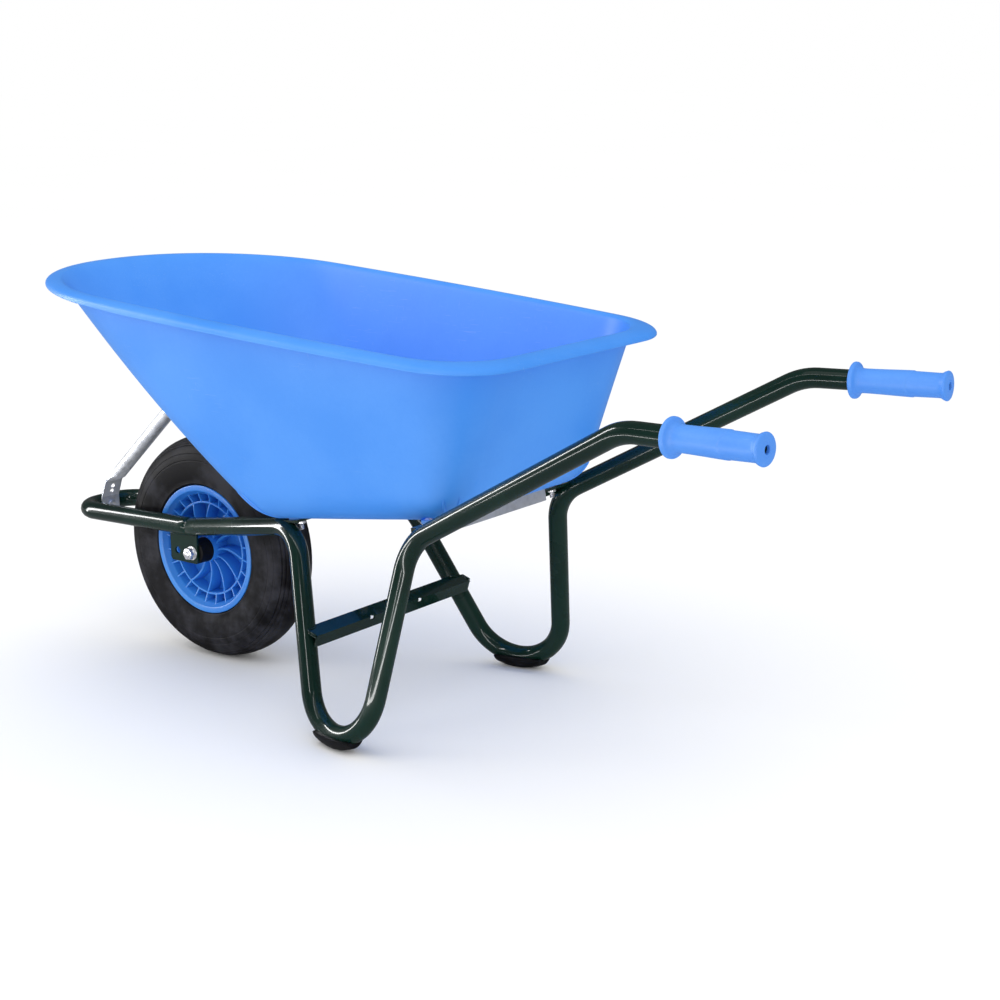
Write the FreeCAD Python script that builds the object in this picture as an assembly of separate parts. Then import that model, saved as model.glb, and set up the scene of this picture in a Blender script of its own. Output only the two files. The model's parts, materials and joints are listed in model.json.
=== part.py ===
import FreeCAD, Part
import math
import os

# Wheelbarrow with a poly tray, a bent-tube frame and one pneumatic wheel.
# X runs from the wheel towards the handles, Y to the left of the person pushing,
# Z up. The ground is Z = 0 and the plane Y = 0 is the plane of symmetry.
# Lengths along X are written from the axle and moved by axle_x, which puts the
# origin under the middle of the whole barrow.

V = FreeCAD.Vector

# --- driving dimensions, mm ---
axle_x = -465.1
wheel_radius = 200.0
axle_z = wheel_radius

# frame tube and its centre line on the +Y side
tube_d = 32.0
tube_wall = 1.5
nose_x, nose_half, nose_z = -304.5, 58.0, 236.5
kink_y, kink_z = 71.5, 248.2
front_bend = (316.0, 134.4, 308.0)
leg_apex = (527.2, 310.0, -228.5)
rear_bend = (601.7, 189.3, 334.1)
handle_bend = (1024.2, 248.3, 564.3)
handle_end = (1256.9, 268.1, 570.1)
nose_radius = 46.0
kink_radius = 45.0
front_bend_radius = 68.0
leg_radius = 85.2
rear_bend_radius = 80.0
handle_bend_radius = 110.0

# tray
tray_wall = 4.0
front_skin_share, side_skin_share = 0.36, 0.76
floor_z0, floor_slope = 272.0, 0.145
rim_z0, rim_slope = 678.6, -0.0708
floor_front, floor_rear = 266.0, 680.0
floor_half_front, floor_half_rear = 169.5, 183.0
floor_front_radius, floor_rear_radius = 42.0, 46.0
rim_front, rim_rear = -225.0, 758.0
rim_half_front, rim_half_rear = 275.0, 260.0
rim_front_radius, rim_rear_radius = 266.0, 114.0
side_bow_radius = 5200.0
floor_blend = 72.0
least_corner = 12.0
boss_d = 38.0
flange_reach, flange_drop, flange_skin = 25.0, 14.0, 3.2
flange_rear_reach, flange_rear_radius = 30.0, 116.0
flange_level_front, flange_level_rear = 0.5, 0.86
flange_full_x = 120.0

# fasteners
m8_d, m8_af, m8_head, m8_nut = 8.0, 13.0, 5.3, 6.5
m12_d, m12_af, m12_head, m12_nut = 12.0, 19.0, 7.5, 10.0
bolt_gap = 0.25
penny_d, penny_t = 28.0, 1.6

# axle brackets
bracket_in, bracket_t = 66.0, 4.0
bracket_front, bracket_rear, bracket_low = -53.0, 13.0, 181.0
spare_hole_x, spare_hole_d = -36.0, 12.5

# rear cross strap and the lugs under the tray
strap_x, strap_w, strap_h, strap_t = 617.0, 24.0, 20.0, 2.0
strap_half, tongue_half = 118.0, 164.0
rear_bolt_y = 150.0
lug_t, lug_w = 4.0, 32.0
front_bolt_x, front_bolt_y = 304.0, 112.0

# front strut, a tube with flattened ends, in the XZ plane from the axle
strut_d, strut_wall = 25.0, 1.5
strut_flat_w, strut_flat_t = 40.0, 3.0
strut_foot_x, strut_foot_low = -286.9, 221.0
strut_foot_bend = (strut_foot_x, 251.0)
strut_knee = (-275.0, 282.0)
strut_rise = 0.915
strut_shoulder, strut_tab = 26.0, 44.0
strut_bolt_z = 236.5
strut_slot_w, strut_slot_len = 9.0, 20.0

# leg brace, an angle between the two front legs
brace_top, brace_drop, brace_t = 28.0, 21.0, 2.5
brace_fold_x, brace_fold_z = 410.0, 154.5
brace_half = 194.0
brace_tilt = 18.0
notch_y, notch_w, notch_deep = 61.0, 11.0, 8.0

# grips
grip_len, grip_d, grip_bore_gap = 152.0, 37.5, 0.1
grip_flange_d, grip_flange_t = 56.0, 8.0
grip_end_d, grip_end_t = 45.0, 7.0
grip_end_skin = 6.0

# foot pads
pad_t, pad_span, pad_lead = 6.0, 84.0, 50.0

# wheel
rim_flange_r, rim_flange_y = 115.2, 42.2
bead_seat_r, drop_r = 101.5, 90.0
rim_skin = 3.5
cell_ring_r = 83.0
hub_r, hub_half = 22.5, 38.0
web_t = 5.0
spoke_count, spoke_t, spoke_half = 12, 2.6, 30.0
spoke_root_turn, spoke_middle_turn, spoke_middle_r = 5.0, 10.5, 48.0
cell_count, cell_phase = 24, 6.0
tyre_half = 47.0
bush_bore_gap = 0.06
bush_flange_out = 65.4
bush_spigot_r = 15.0
inner_tube_skin, inner_tube_gap = 1.8, 0.4
valve_d, valve_len, valve_y = 8.0, 17.0, 12.0
valve_cap_d, valve_cap_len, valve_hole_d = 9.6, 8.0, 10.6
tube_floor_r, tube_floor_half = bead_seat_r + 2.0, 22.0

tube_r = tube_d / 2.0


# --- small helpers ---
def at(x, y, z):
    """A point given from the axle's X."""
    return V(axle_x + x, y, z)


def mirrored(shape):
    return shape.mirror(V(0, 0, 0), V(0, 1, 0))


def save(name, shape):
    shape.exportStep("parts/" + name + ".step")


def group(shapes):
    return Part.makeCompound(shapes)


def bent_wire(points, radii):
    """Straight runs joined by tangent arcs of the given radii at the inner points."""
    edges = []
    start = points[0]
    for index in range(1, len(points) - 1):
        corner = points[index]
        back = (points[index - 1] - corner).normalize()
        ahead = (points[index + 1] - corner).normalize()
        half_angle = back.getAngle(ahead) / 2.0
        cut = radii[index - 1] / math.tan(half_angle)
        first = corner + back * cut
        last = corner + ahead * cut
        middle_dir = (back + ahead).normalize()
        reach = radii[index - 1] * (1.0 / math.sin(half_angle) - 1.0)
        middle = corner + middle_dir * reach
        edges.append(Part.LineSegment(start, first).toShape())
        edges.append(Part.Arc(first, middle, last).toShape())
        start = last
    edges.append(Part.LineSegment(start, points[-1]).toShape())
    return Part.Wire(edges)


def swept_rod(wire, radius):
    """A round bar along a wire that starts with a straight run."""
    first = wire.OrderedEdges[0]
    begin = wire.OrderedVertexes[0].Point
    direction = first.tangentAt(first.FirstParameter)
    ring = Part.Wire(Part.makeCircle(radius, begin, direction))
    return wire.makePipeShell([ring], True, False)


def hexagon(af, height, base, axis):
    """A hexagonal prism standing on base along axis."""
    points = []
    for step in range(7):
        angle = math.radians(60.0 * step)
        points.append(V(math.cos(angle), math.sin(angle), 0) * (af / math.sqrt(3.0)))
    solid = Part.Face(Part.makePolygon(points)).extrude(V(0, 0, height))
    solid.Placement = FreeCAD.Placement(base, FreeCAD.Rotation(V(0, 0, 1), axis))
    return solid


def bolt(base, axis, diameter, af, head, length):
    """A hexagon bolt: its head sits on base and its shank runs along -axis."""
    shank = Part.makeCylinder(diameter / 2.0, length, base, -axis)
    return hexagon(af, head, base, axis).fuse(shank).removeSplitter()


def nut(base, axis, diameter, af, height):
    """A hexagon nut whose bearing face is on base, growing along -axis."""
    body = hexagon(af, height, base, -axis)
    return body.cut(Part.makeCylinder(diameter / 2.0, height, base, -axis))


def washer(base, axis, inner, outer, thickness):
    disc = Part.makeCylinder(outer / 2.0, thickness, base, axis)
    return disc.cut(Part.makeCylinder(inner / 2.0, thickness, base, axis))


def revolved_about_axle(profile):
    """A ring turned about the wheel's axis from (radius, y) points."""
    points = [V(0, y, radius) for radius, y in profile]
    face = Part.Face(Part.makePolygon(points + [points[0]]))
    ring = face.revolve(V(0, 0, 0), V(0, 1, 0), 360)
    ring.translate(at(0, 0, axle_z))
    return ring


# --- frame tubes ---
def side_points():
    """Centre-line corners of the +Y tube, from the nose to the handle's end."""
    run = V(*handle_end) - V(*handle_bend)
    run.normalize()
    tube_end = V(*handle_end) - run * grip_end_skin
    return [
        at(nose_x, 0, nose_z),
        at(nose_x, nose_half, nose_z),
        at(0, kink_y, kink_z),
        at(*front_bend),
        at(*leg_apex),
        at(*rear_bend),
        at(*handle_bend),
        at(tube_end.x, tube_end.y, tube_end.z),
    ]


SIDE_RADII = [
    nose_radius,
    kink_radius,
    front_bend_radius,
    leg_radius,
    rear_bend_radius,
    handle_bend_radius,
]


def side_rod(radius):
    """The +Y side's tube as a solid bar of any radius."""
    return swept_rod(bent_wire(side_points(), SIDE_RADII), radius)


def frame_tube():
    tube = side_rod(tube_r).cut(side_rod(tube_r - tube_wall))
    hole = Part.makeCylinder(m8_d / 2.0 + bolt_gap, 60, at(nose_x - 30, 0, strut_bolt_z), V(1, 0, 0))
    return tube.cut(hole)


# --- tray ---
def floor_height(x):
    return floor_z0 + floor_slope * x


def rim_height(x):
    return rim_z0 + rim_slope * x


def mix(low, high, level):
    return low + (high - low) * level


def outline(front, rear, half_front, half_rear, front_r, rear_r, height):
    """The eight edges of a closed outline: front, side and rear runs and round corners."""
    front_c = V(front + front_r, half_front - front_r, 0)
    rear_c = V(rear - rear_r, half_rear - rear_r, 0)
    near = side_bow_radius - front_r
    far = side_bow_radius - rear_r
    span = (rear_c - front_c).Length
    along = (near ** 2 - far ** 2 + span ** 2) / (2.0 * span)
    across = math.sqrt(near ** 2 - along ** 2)
    unit = (rear_c - front_c).normalize()
    bow_c = front_c + unit * along + V(unit.y, -unit.x, 0) * across
    side_start = front_c + (front_c - bow_c).normalize() * front_r
    side_end = rear_c + (rear_c - bow_c).normalize() * rear_r
    chord_mid = (side_start + side_end) * 0.5
    side_mid = bow_c + (chord_mid - bow_c).normalize() * side_bow_radius
    front_start = V(front, front_c.y, 0)
    rear_end = V(rear, rear_c.y, 0)
    front_mid = front_c + ((front_start + side_start) * 0.5 - front_c).normalize() * front_r
    rear_mid = rear_c + ((rear_end + side_end) * 0.5 - rear_c).normalize() * rear_r

    def lift(point, flip):
        return at(point.x, -point.y if flip else point.y, height(point.x))

    edges = [Part.LineSegment(lift(front_start, True), lift(front_start, False)).toShape()]
    arcs = [
        (front_start, front_mid, side_start),
        (side_start, side_mid, side_end),
        (side_end, rear_mid, rear_end),
    ]
    for begin, middle, end in arcs:
        edges.append(Part.Arc(lift(begin, False), lift(middle, False), lift(end, False)).toShape())
    edges.append(Part.LineSegment(lift(rear_end, False), lift(rear_end, True)).toShape())
    for begin, middle, end in reversed(arcs):
        edges.append(Part.Arc(lift(end, True), lift(middle, True), lift(begin, True)).toShape())
    return edges


def blend_inset(height, radius, lean):
    """How far the floor's round edge lies inside the leaning wall at a height."""
    cut = radius * math.tan((math.pi / 2.0 - lean) / 2.0)
    if height >= cut * math.cos(lean):
        return 0.0
    return cut - math.sqrt(radius ** 2 - (radius - height) ** 2) + height * math.tan(lean)


def wall_outline(level, skin, rise):
    """The wall at a level from 0 at the floor to 1 at the rim, moved in by skin."""
    depth = 330.0
    lift = level * depth
    radius = floor_blend - skin
    front_in = blend_inset(lift, radius, math.radians(38)) + skin * front_skin_share
    side_in = blend_inset(lift, radius, math.radians(15)) + skin * side_skin_share
    rear_in = blend_inset(lift, radius, math.radians(14)) + skin * side_skin_share
    half_front = mix(floor_half_front, rim_half_front, level) - side_in
    front_r = mix(floor_front_radius, rim_front_radius, level) - side_in
    front_r = max(least_corner, min(front_r, half_front - 4.0))
    rear_r = max(least_corner, mix(floor_rear_radius, rim_rear_radius, level) - rear_in)

    def height(x):
        return mix(floor_height(x), rim_height(x), level) + rise

    return outline(
        mix(floor_front, rim_front, level) + front_in,
        mix(floor_rear, rim_rear, level) - rear_in,
        half_front,
        mix(floor_half_rear, rim_half_rear, level) - side_in,
        front_r,
        rear_r,
        height,
    )


def flange_lowering(x):
    """The share of the flange's drop at x: it lies flatter in front and behind."""
    if x < flange_full_x:
        share = (x - rim_front) / (flange_full_x - rim_front)
        return mix(flange_level_front, 1.0, max(0.0, share))
    share = (x - flange_full_x) / (rim_rear - flange_full_x)
    return mix(1.0, flange_level_rear, min(1.0, share))


def rim_outline(reach, drop, flat=False):
    """The rim's outline pushed out by reach and lowered by drop, in one plane if flat."""
    share = reach / flange_reach
    rear_reach = flange_rear_reach * share
    return outline(
        rim_front - reach,
        rim_rear + rear_reach,
        rim_half_front + reach,
        rim_half_rear + reach,
        rim_front_radius + reach,
        mix(rim_rear_radius, flange_rear_radius, share),
        lambda x: rim_height(x) - drop * (1.0 if flat else flange_lowering(x)),
    )


def stacked(outlines):
    """A solid through matching outlines, with a ruled face between each pair of edges."""
    faces = [Part.Face(Part.Wire(outlines[0])), Part.Face(Part.Wire(outlines[-1]))]
    for lower, upper in zip(outlines, outlines[1:]):
        for low_edge, high_edge in zip(lower, upper):
            faces.append(Part.makeRuledSurface(low_edge, high_edge))
    shell = Part.Shell(faces)
    shell.sewShape()
    solid = Part.Solid(shell)
    if solid.Volume < 0:
        solid.reverse()
    return solid


WALL_LEVELS = [0.0, 0.012, 0.035, 0.07, 0.12, 0.19, 0.3, 0.42, 0.55, 0.7, 0.85, 1.0]


def tray():
    outside = stacked([wall_outline(level, 0.0, 0.0) for level in WALL_LEVELS])
    cavity_levels = WALL_LEVELS + [1.03]
    cavity = stacked([wall_outline(level, tray_wall, tray_wall) for level in cavity_levels])
    top_curve = [
        (flange_reach, flange_drop),
        (flange_reach - 0.5, flange_drop - 5.0),
        (flange_reach - 5.0, flange_drop - 11.0),
        (flange_reach - 13.0, 3.0),
        (3.0, 0.0),
    ]
    hidden_edge = rim_outline(-2.0, flange_drop + 4.0, True)
    cap = stacked([hidden_edge] + [rim_outline(reach, drop) for reach, drop in top_curve])
    under_curve = [
        (flange_reach - flange_skin, flange_drop + 3.0),
        (flange_reach - flange_skin - 0.5, flange_drop - 5.0),
        (flange_reach - flange_skin - 5.0, flange_drop - 9.0),
    ]
    below = rim_outline(flange_reach - flange_skin, flange_drop + 12.0, True)
    root = rim_outline(2.0, flange_skin + 2.0, True)
    under = stacked([below] + [rim_outline(reach, drop) for reach, drop in under_curve] + [root])
    body = outside.fuse(cap.cut(under))
    for x, y in tray_bolt_places():
        body = body.fuse(floor_cylinder(x, y, boss_d / 2.0, 0, tray_wall + 2.0))
    body = body.cut(cavity)
    for x, y in tray_bolt_places():
        body = body.cut(floor_cylinder(x, y, penny_d / 2.0 + 1.5, tray_wall, tray_wall + 14.0))
        body = body.cut(floor_cylinder(x, y, m8_d / 2.0 + bolt_gap, -3.0, tray_wall + 3.0))
    axis = strut_top_axis()
    seat = Part.makeCylinder(penny_d / 2.0 + 1.5, 14, strut_top_point() + axis * tray_wall, axis)
    hole = Part.makeCylinder(m8_d / 2.0 + bolt_gap, 40, strut_top_point() - axis * 20, axis)
    return body.cut(seat).cut(hole)


def tray_bolt_places():
    places = []
    for x, y in ((strap_x, rear_bolt_y), (front_bolt_x, front_bolt_y)):
        places.append((x, y))
        places.append((x, -y))
    return places


FLOOR_UP = V(-floor_slope, 0, 1).normalize()


def floor_point(x, y, lift):
    """A point above or below the outside of the floor, square to it."""
    return at(x, y, floor_height(x)) + FLOOR_UP * lift


def floor_cylinder(x, y, radius, low, high):
    return Part.makeCylinder(radius, high - low, floor_point(x, y, low), FLOOR_UP)


def floor_box(x, y_low, y_high, width, low, high):
    """A box square to the floor, centred on x, between two Y values and two lifts."""
    box = Part.makeBox(width, y_high - y_low, high - low, V(-width / 2.0, y_low, low))
    turn = FreeCAD.Rotation(V(0, 0, 1), FLOOR_UP)
    box.Placement = FreeCAD.Placement(at(x, 0, floor_height(x)), turn)
    return box


# --- what carries the tray ---
def rear_cross_strap():
    web = floor_box(strap_x, -tongue_half, tongue_half, strap_w, -strap_t, 0)
    channel = floor_box(strap_x, -strap_half, strap_half, strap_w, -strap_h, -strap_t)
    hollow = floor_box(strap_x, -strap_half, strap_half, strap_w - 2 * strap_t, -strap_h, -strap_t)
    strap = web.fuse(channel.cut(hollow)).removeSplitter()
    for side in (1, -1):
        strap = strap.cut(floor_cylinder(strap_x, side * rear_bolt_y, m8_d / 2.0 + bolt_gap, -9, 3))
    return strap


def rear_lug():
    """An angle welded inside the rear bend; the strap's tongue lies on it."""
    inner = strap_half + 1.0
    flat = floor_box(strap_x, inner, 186, lug_w, -strap_t - lug_t, -strap_t)
    skirt = floor_box(strap_x - (lug_w - lug_t) / 2.0, inner, 186, lug_t, -strap_h, -strap_t - lug_t)
    lug = flat.fuse(skirt).removeSplitter().cut(side_rod(tube_r))
    return lug.cut(floor_cylinder(strap_x, rear_bolt_y, m8_d / 2.0 + bolt_gap, -12, 3))


def front_lug():
    """A plate welded on the inside of the front bend, under the tray's floor."""
    plate = floor_box(front_bolt_x, front_bolt_y - 14, front_bolt_y + 24, 32, -lug_t, 0)
    plate = plate.cut(side_rod(tube_r))
    return plate.cut(floor_cylinder(front_bolt_x, front_bolt_y, m8_d / 2.0 + bolt_gap, -12, 3))


def tray_fasteners():
    """Bolts from inside the tray, with wide washers under their heads, and nuts."""
    bolts = []
    washers = []
    nuts = []
    for x, y in tray_bolt_places():
        rear = x == strap_x
        grip = (strap_t if rear else 0.0) + lug_t
        washers.append(washer(floor_point(x, y, tray_wall), FLOOR_UP, m8_d + 1, penny_d, penny_t))
        head_at = floor_point(x, y, tray_wall + penny_t)
        bolts.append(bolt(head_at, FLOOR_UP, m8_d, m8_af, m8_head, tray_wall + penny_t + grip + 16))
        nuts.append(nut(floor_point(x, y, -grip), FLOOR_UP, m8_d, m8_af, m8_nut))
    return bolts, washers, nuts


# --- front strut ---
STRUT_LEVELS = WALL_LEVELS[-4:-2]


def front_wall_point(level):
    x = mix(floor_front, rim_front, level)
    return V(x, 0, mix(floor_height(x), rim_height(x), level))


def front_wall_line():
    """The outside of the front wall at Y = 0 where the strut lies: a point and its slope."""
    low, high = [front_wall_point(level) for level in STRUT_LEVELS]
    return low, (high - low).normalize()


def strut_wall_corner():
    """Where the strut's centre line meets the front wall, less half its flat end."""
    low, slope = front_wall_line()
    knee = V(strut_knee[0], 0, strut_knee[1])
    run = V(1, 0, strut_rise).normalize()
    across = V(slope.z, 0, -slope.x)
    reach = ((low - knee).dot(across) - strut_flat_t / 2.0) / run.dot(across)
    return knee + run * reach


def strut_top_axis():
    """Square to the front wall, pointing into the tray."""
    slope = front_wall_line()[1]
    return V(slope.z, 0, -slope.x)


def strut_top_point():
    """The middle of the strut's tab on the outside of the wall, from the origin."""
    slope = front_wall_line()[1]
    middle = strut_wall_corner() + slope * (strut_tab * 0.55)
    return at(middle.x, 0, middle.z) + strut_top_axis() * (strut_flat_t / 2.0)


def strip_between(begin, end, half_width):
    """A flat strip along a line in the XZ plane."""
    unit = (end - begin).normalize()
    lift = V(unit.z, 0, -unit.x) * (strut_flat_t / 2.0)
    points = [begin - lift, end - lift, end + lift, begin + lift]
    face = Part.Face(Part.makePolygon(points + [points[0]]))
    face.translate(V(0, -half_width, 0))
    return face.extrude(V(0, 2 * half_width, 0))


def oval(centre, unit, half_width, half_depth):
    """A closed polygon round an oval section square to unit, wide along Y."""
    across = V(unit.z, 0, -unit.x)
    points = []
    for step in range(24):
        angle = math.radians(15.0 * step)
        offset = V(0, half_width * math.cos(angle), 0) + across * (half_depth * math.sin(angle))
        points.append(centre + offset)
    return Part.makePolygon(points + [points[0]])


def front_strut():
    """A tube from the nose to the tray's front wall, pressed flat at both ends."""
    half = strut_flat_w / 2.0
    foot_low = at(strut_foot_x, 0, strut_foot_low)
    foot_bend = at(strut_foot_bend[0], 0, strut_foot_bend[1])
    knee = at(strut_knee[0], 0, strut_knee[1])
    corner = strut_wall_corner()
    top_bend = at(corner.x, 0, corner.z)
    tab_end = top_bend + front_wall_line()[1] * strut_tab
    unit = (top_bend - knee).normalize()
    low = knee + unit * strut_shoulder
    high = top_bend - unit * (strut_shoulder + 4.0)
    flats = [(foot_low, foot_bend), (foot_bend, knee), (knee, knee + unit * 4.0)]
    flats = flats + [(top_bend - unit * 6.0, top_bend), (top_bend, tab_end)]
    body = Part.makeCylinder(strut_d / 2.0, (high - low).Length, low, unit)
    bore = Part.makeCylinder(strut_d / 2.0 - strut_wall, (high - low).Length - 12, low + unit * 6.0, unit)
    body = body.cut(bore)
    for start, end in ((low, knee), (high, top_bend - unit * 3.0)):
        wide = oval(start, unit, strut_d / 2.0, strut_d / 2.0)
        thin = oval(end, unit, half, strut_flat_t / 2.0)
        body = body.fuse(Part.makeLoft([wide, thin], True, True))
    for begin, end in flats:
        body = body.fuse(strip_between(begin, end, half))
    for joint in (foot_bend, knee, top_bend):
        side = joint - V(0, half, 0)
        body = body.fuse(Part.makeCylinder(strut_flat_t / 2.0, strut_flat_w, side, V(0, 1, 0)))
    axis = strut_top_axis()
    foot_hole = Part.makeCylinder(m8_d / 2.0 + bolt_gap, 40, at(nose_x, 0, strut_bolt_z), V(1, 0, 0))
    top_hole = Part.makeCylinder(m8_d / 2.0 + bolt_gap, 20, strut_top_point() - axis * 10, axis)
    rod = side_rod(tube_r)
    body = body.removeSplitter().cut([foot_hole, top_hole, rod, mirrored(rod), foot_slot(foot_bend, knee)])
    return body


def foot_slot(foot_bend, knee):
    """A round-ended slot in the sloping part of the strut's foot."""
    unit = (knee - foot_bend).normalize()
    across = V(unit.z, 0, -unit.x)
    middle = (knee + foot_bend) * 0.5
    half_run = (strut_slot_len - strut_slot_w) / 2.0
    ends = [middle - unit * half_run, middle + unit * half_run]
    cutter = Part.makeBox(strut_slot_len - strut_slot_w, strut_slot_w, 12)
    cutter.translate(V(0, -strut_slot_w / 2.0, -6))
    cutter.Placement = FreeCAD.Placement(ends[0], FreeCAD.Rotation(V(1, 0, 0), unit))
    for end in ends:
        cutter = cutter.fuse(Part.makeCylinder(strut_slot_w / 2.0, 12, end - across * 6, across))
    return cutter


# --- axle, its brackets and nuts ---
def axle_bracket():
    plate = Part.makeBox(
        bracket_rear - bracket_front,
        bracket_t,
        60,
        at(bracket_front, bracket_in, bracket_low),
    )
    level = [edge for edge in plate.Edges if edge.CenterOfMass.z < bracket_low + 1]
    corners = [edge for edge in level if abs(edge.tangentAt(0).y) > 0.9]
    plate = plate.makeFillet(6.0, corners)
    plate = plate.cut(side_rod(tube_r))
    through = V(0, 1, 0)
    for x, diameter in ((0.0, m12_d + 2 * bolt_gap), (spare_hole_x, spare_hole_d)):
        hole = Part.makeCylinder(diameter / 2.0, 20, at(x, bracket_in - 8, axle_z), through)
        plate = plate.cut(hole)
    return max(plate.Solids, key=lambda piece: piece.Volume)


def axle_pieces():
    outside = bracket_in + bracket_t
    washer_t = 2.0
    y_axis = V(0, 1, 0)
    washers = []
    for side in (1, -1):
        base = at(0, side * outside, axle_z)
        washers.append(washer(base, y_axis * side, m12_d + 0.6, 25.0, washer_t))
    head_at = at(0, outside + washer_t, axle_z)
    length = 2 * (outside + washer_t) + m12_nut + 3.0
    axle = bolt(head_at, y_axis, m12_d, m12_af, m12_head, length)
    nut_at = at(0, -outside - washer_t, axle_z)
    axle_nut = nut(nut_at, y_axis, m12_d, m12_af, m12_nut)
    return axle, axle_nut, group(washers)


# --- leg brace ---
def leg_brace():
    """An angle section coped round the rear of both front legs, with two notches."""
    top = Part.makeBox(brace_top, 2 * brace_half, brace_t, V(-brace_top, -brace_half, -brace_t))
    drop = Part.makeBox(brace_t, 2 * brace_half, brace_drop, V(-brace_t, -brace_half, -brace_drop))
    angle = top.fuse(drop).removeSplitter()
    for side in (1, -1):
        cutter = Part.makeCylinder(notch_w / 2.0, 14, V(0.5, side * notch_y, -7), V(0, 0, 1))
        angle = angle.cut(cutter)
    turn = FreeCAD.Rotation(V(0, 1, 0), brace_tilt)
    angle.Placement = FreeCAD.Placement(at(brace_fold_x, 0, brace_fold_z), turn)
    rod = side_rod(tube_r)
    angle = angle.cut(rod).cut(mirrored(rod))
    return max(angle.Solids, key=lambda piece: piece.Volume)


# --- grips and foot pads ---
def grip():
    end = at(*handle_end)
    run = (at(*handle_end) - at(*handle_bend)).normalize()
    start = end - run * grip_len
    body = Part.makeCylinder(grip_d / 2.0, grip_len, start, run)
    flange = Part.makeCylinder(grip_flange_d / 2.0, grip_flange_t, start, run)
    flange = flange.makeFillet(3.0, [edge for edge in flange.Edges if edge.Closed])
    end_ring = Part.makeCylinder(grip_end_d / 2.0, grip_end_t, end - run * grip_end_t, run)
    end_ring = end_ring.makeFillet(2.5, [edge for edge in end_ring.Edges if edge.Closed])
    thumb = Part.makeCylinder(grip_d / 2.0 + 1.0, grip_len * 0.38, end - run * (grip_len * 0.38), run)
    solid = body.fuse([flange, thumb, end_ring]).removeSplitter()
    bore = Part.makeCylinder(tube_r + grip_bore_gap, grip_len - grip_end_skin, start, run)
    eye = Part.makeCylinder(6.0, 20, end - run * 10, run)
    return solid.cut(bore).cut(eye)


def leg_bottom():
    """The middle of the round bend between the legs, on the centre line."""
    before, corner, after = side_points()[3:6]
    back = (before - corner).normalize()
    ahead = (after - corner).normalize()
    half_angle = back.getAngle(ahead) / 2.0
    reach = leg_radius * (1.0 / math.sin(half_angle) - 1.0)
    return corner + (back + ahead).normalize() * reach


def foot_pad():
    """A moulded shoe under the bend of the legs, flat where it stands."""
    outer = swept_rod(bent_wire(side_points(), SIDE_RADII), tube_r + pad_t)
    bottom = leg_bottom()
    zone = Part.makeBox(pad_span, 80, bottom.z, V(bottom.x - pad_lead, bottom.y - 40, 0))
    pad = outer.common(zone).cut(side_rod(tube_r))
    return max(pad.Solids, key=lambda piece: piece.Volume)


# --- wheel ---
def wheel_rim():
    half = [
        (rim_flange_r, rim_flange_y),
        (rim_flange_r, rim_flange_y - 3.0),
        (bead_seat_r + 2.0, rim_flange_y - 5.0),
        (bead_seat_r, rim_flange_y - 9.0),
        (bead_seat_r - 1.0, 20.0),
        (drop_r, 13.0),
    ]
    inner = [
        (drop_r - rim_skin, 13.0 - 1.0),
        (bead_seat_r - rim_skin - 1.5, 20.0),
        (bead_seat_r - rim_skin, rim_flange_y - 5.0),
        (bead_seat_r - rim_skin, rim_flange_y),
    ]
    outer_curve = half + [(radius, -y) for radius, y in reversed(half)]
    inner_curve = [(radius, -y) for radius, y in reversed(inner)] + inner
    rim = revolved_about_axle(outer_curve + inner_curve)
    web = plain_ring(hub_r - 2.0, drop_r - 2.0, web_t / 2.0)
    hub = plain_ring(bush_spigot_r, hub_r, hub_half)
    ring = plain_ring(cell_ring_r - 1.3, cell_ring_r + 1.3, spoke_half)
    rim = rim.fuse([web, hub, ring])
    bars = []
    for index in range(spoke_count):
        bars.append(curved_spoke(cell_phase + 360.0 * index / spoke_count))
    for index in range(cell_count):
        turn = cell_phase + 360.0 * index / cell_count
        bars.append(radial_bar(cell_ring_r, bead_seat_r - rim_skin + 0.5, turn, 2.2))
    rim = rim.fuse(bars).removeSplitter()
    return rim.cut(valve_hole())


def plain_ring(inner_r, outer_r, half):
    return revolved_about_axle([(outer_r, half), (outer_r, -half), (inner_r, -half), (inner_r, half)])


def curved_spoke(angle):
    """A thin rib that bows backwards between the hub and the ring of cells."""
    curve = [
        (cell_ring_r, angle),
        (spoke_middle_r, angle - spoke_middle_turn),
        (hub_r - 1.0, angle - spoke_root_turn),
    ]
    arcs = []
    for side in (-1.0, 1.0):
        points = []
        for radius, turn in curve:
            shift = math.degrees(side * spoke_t / 2.0 / radius)
            points.append(along_spoke(radius, -spoke_half, turn + shift))
        arcs.append(Part.Arc(*points).toShape())
    for end in (0, 1):
        near, far = [arc.Vertexes[end].Point for arc in arcs[:2]]
        arcs.append(Part.LineSegment(near, far).toShape())
    edge_loop = Part.Wire(Part.sortEdges(arcs)[0])
    return Part.Face(edge_loop).extrude(V(0, 2.0 * spoke_half, 0))


def radial_bar(inner_r, outer_r, angle, thickness):
    corner = V(inner_r, -spoke_half, -thickness / 2.0)
    bar = Part.makeBox(outer_r - inner_r, 2 * spoke_half, thickness, corner)
    bar.rotate(V(0, 0, 0), V(0, 1, 0), angle)
    bar.translate(at(0, 0, axle_z))
    return bar


VALVE_TURN = cell_phase + 180.0 / cell_count


def along_spoke(radius, y, angle):
    """A point at a radius from the axle, turned about it."""
    turn = math.radians(angle)
    return at(radius * math.cos(turn), y, axle_z - radius * math.sin(turn))


def valve_direction():
    return (along_spoke(1, 0, VALVE_TURN) - at(0, 0, axle_z)).normalize()


def valve_hole():
    start = along_spoke(cell_ring_r + 3.0, valve_y, VALVE_TURN)
    return Part.makeCylinder(valve_hole_d / 2.0, 30, start, valve_direction())


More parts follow.
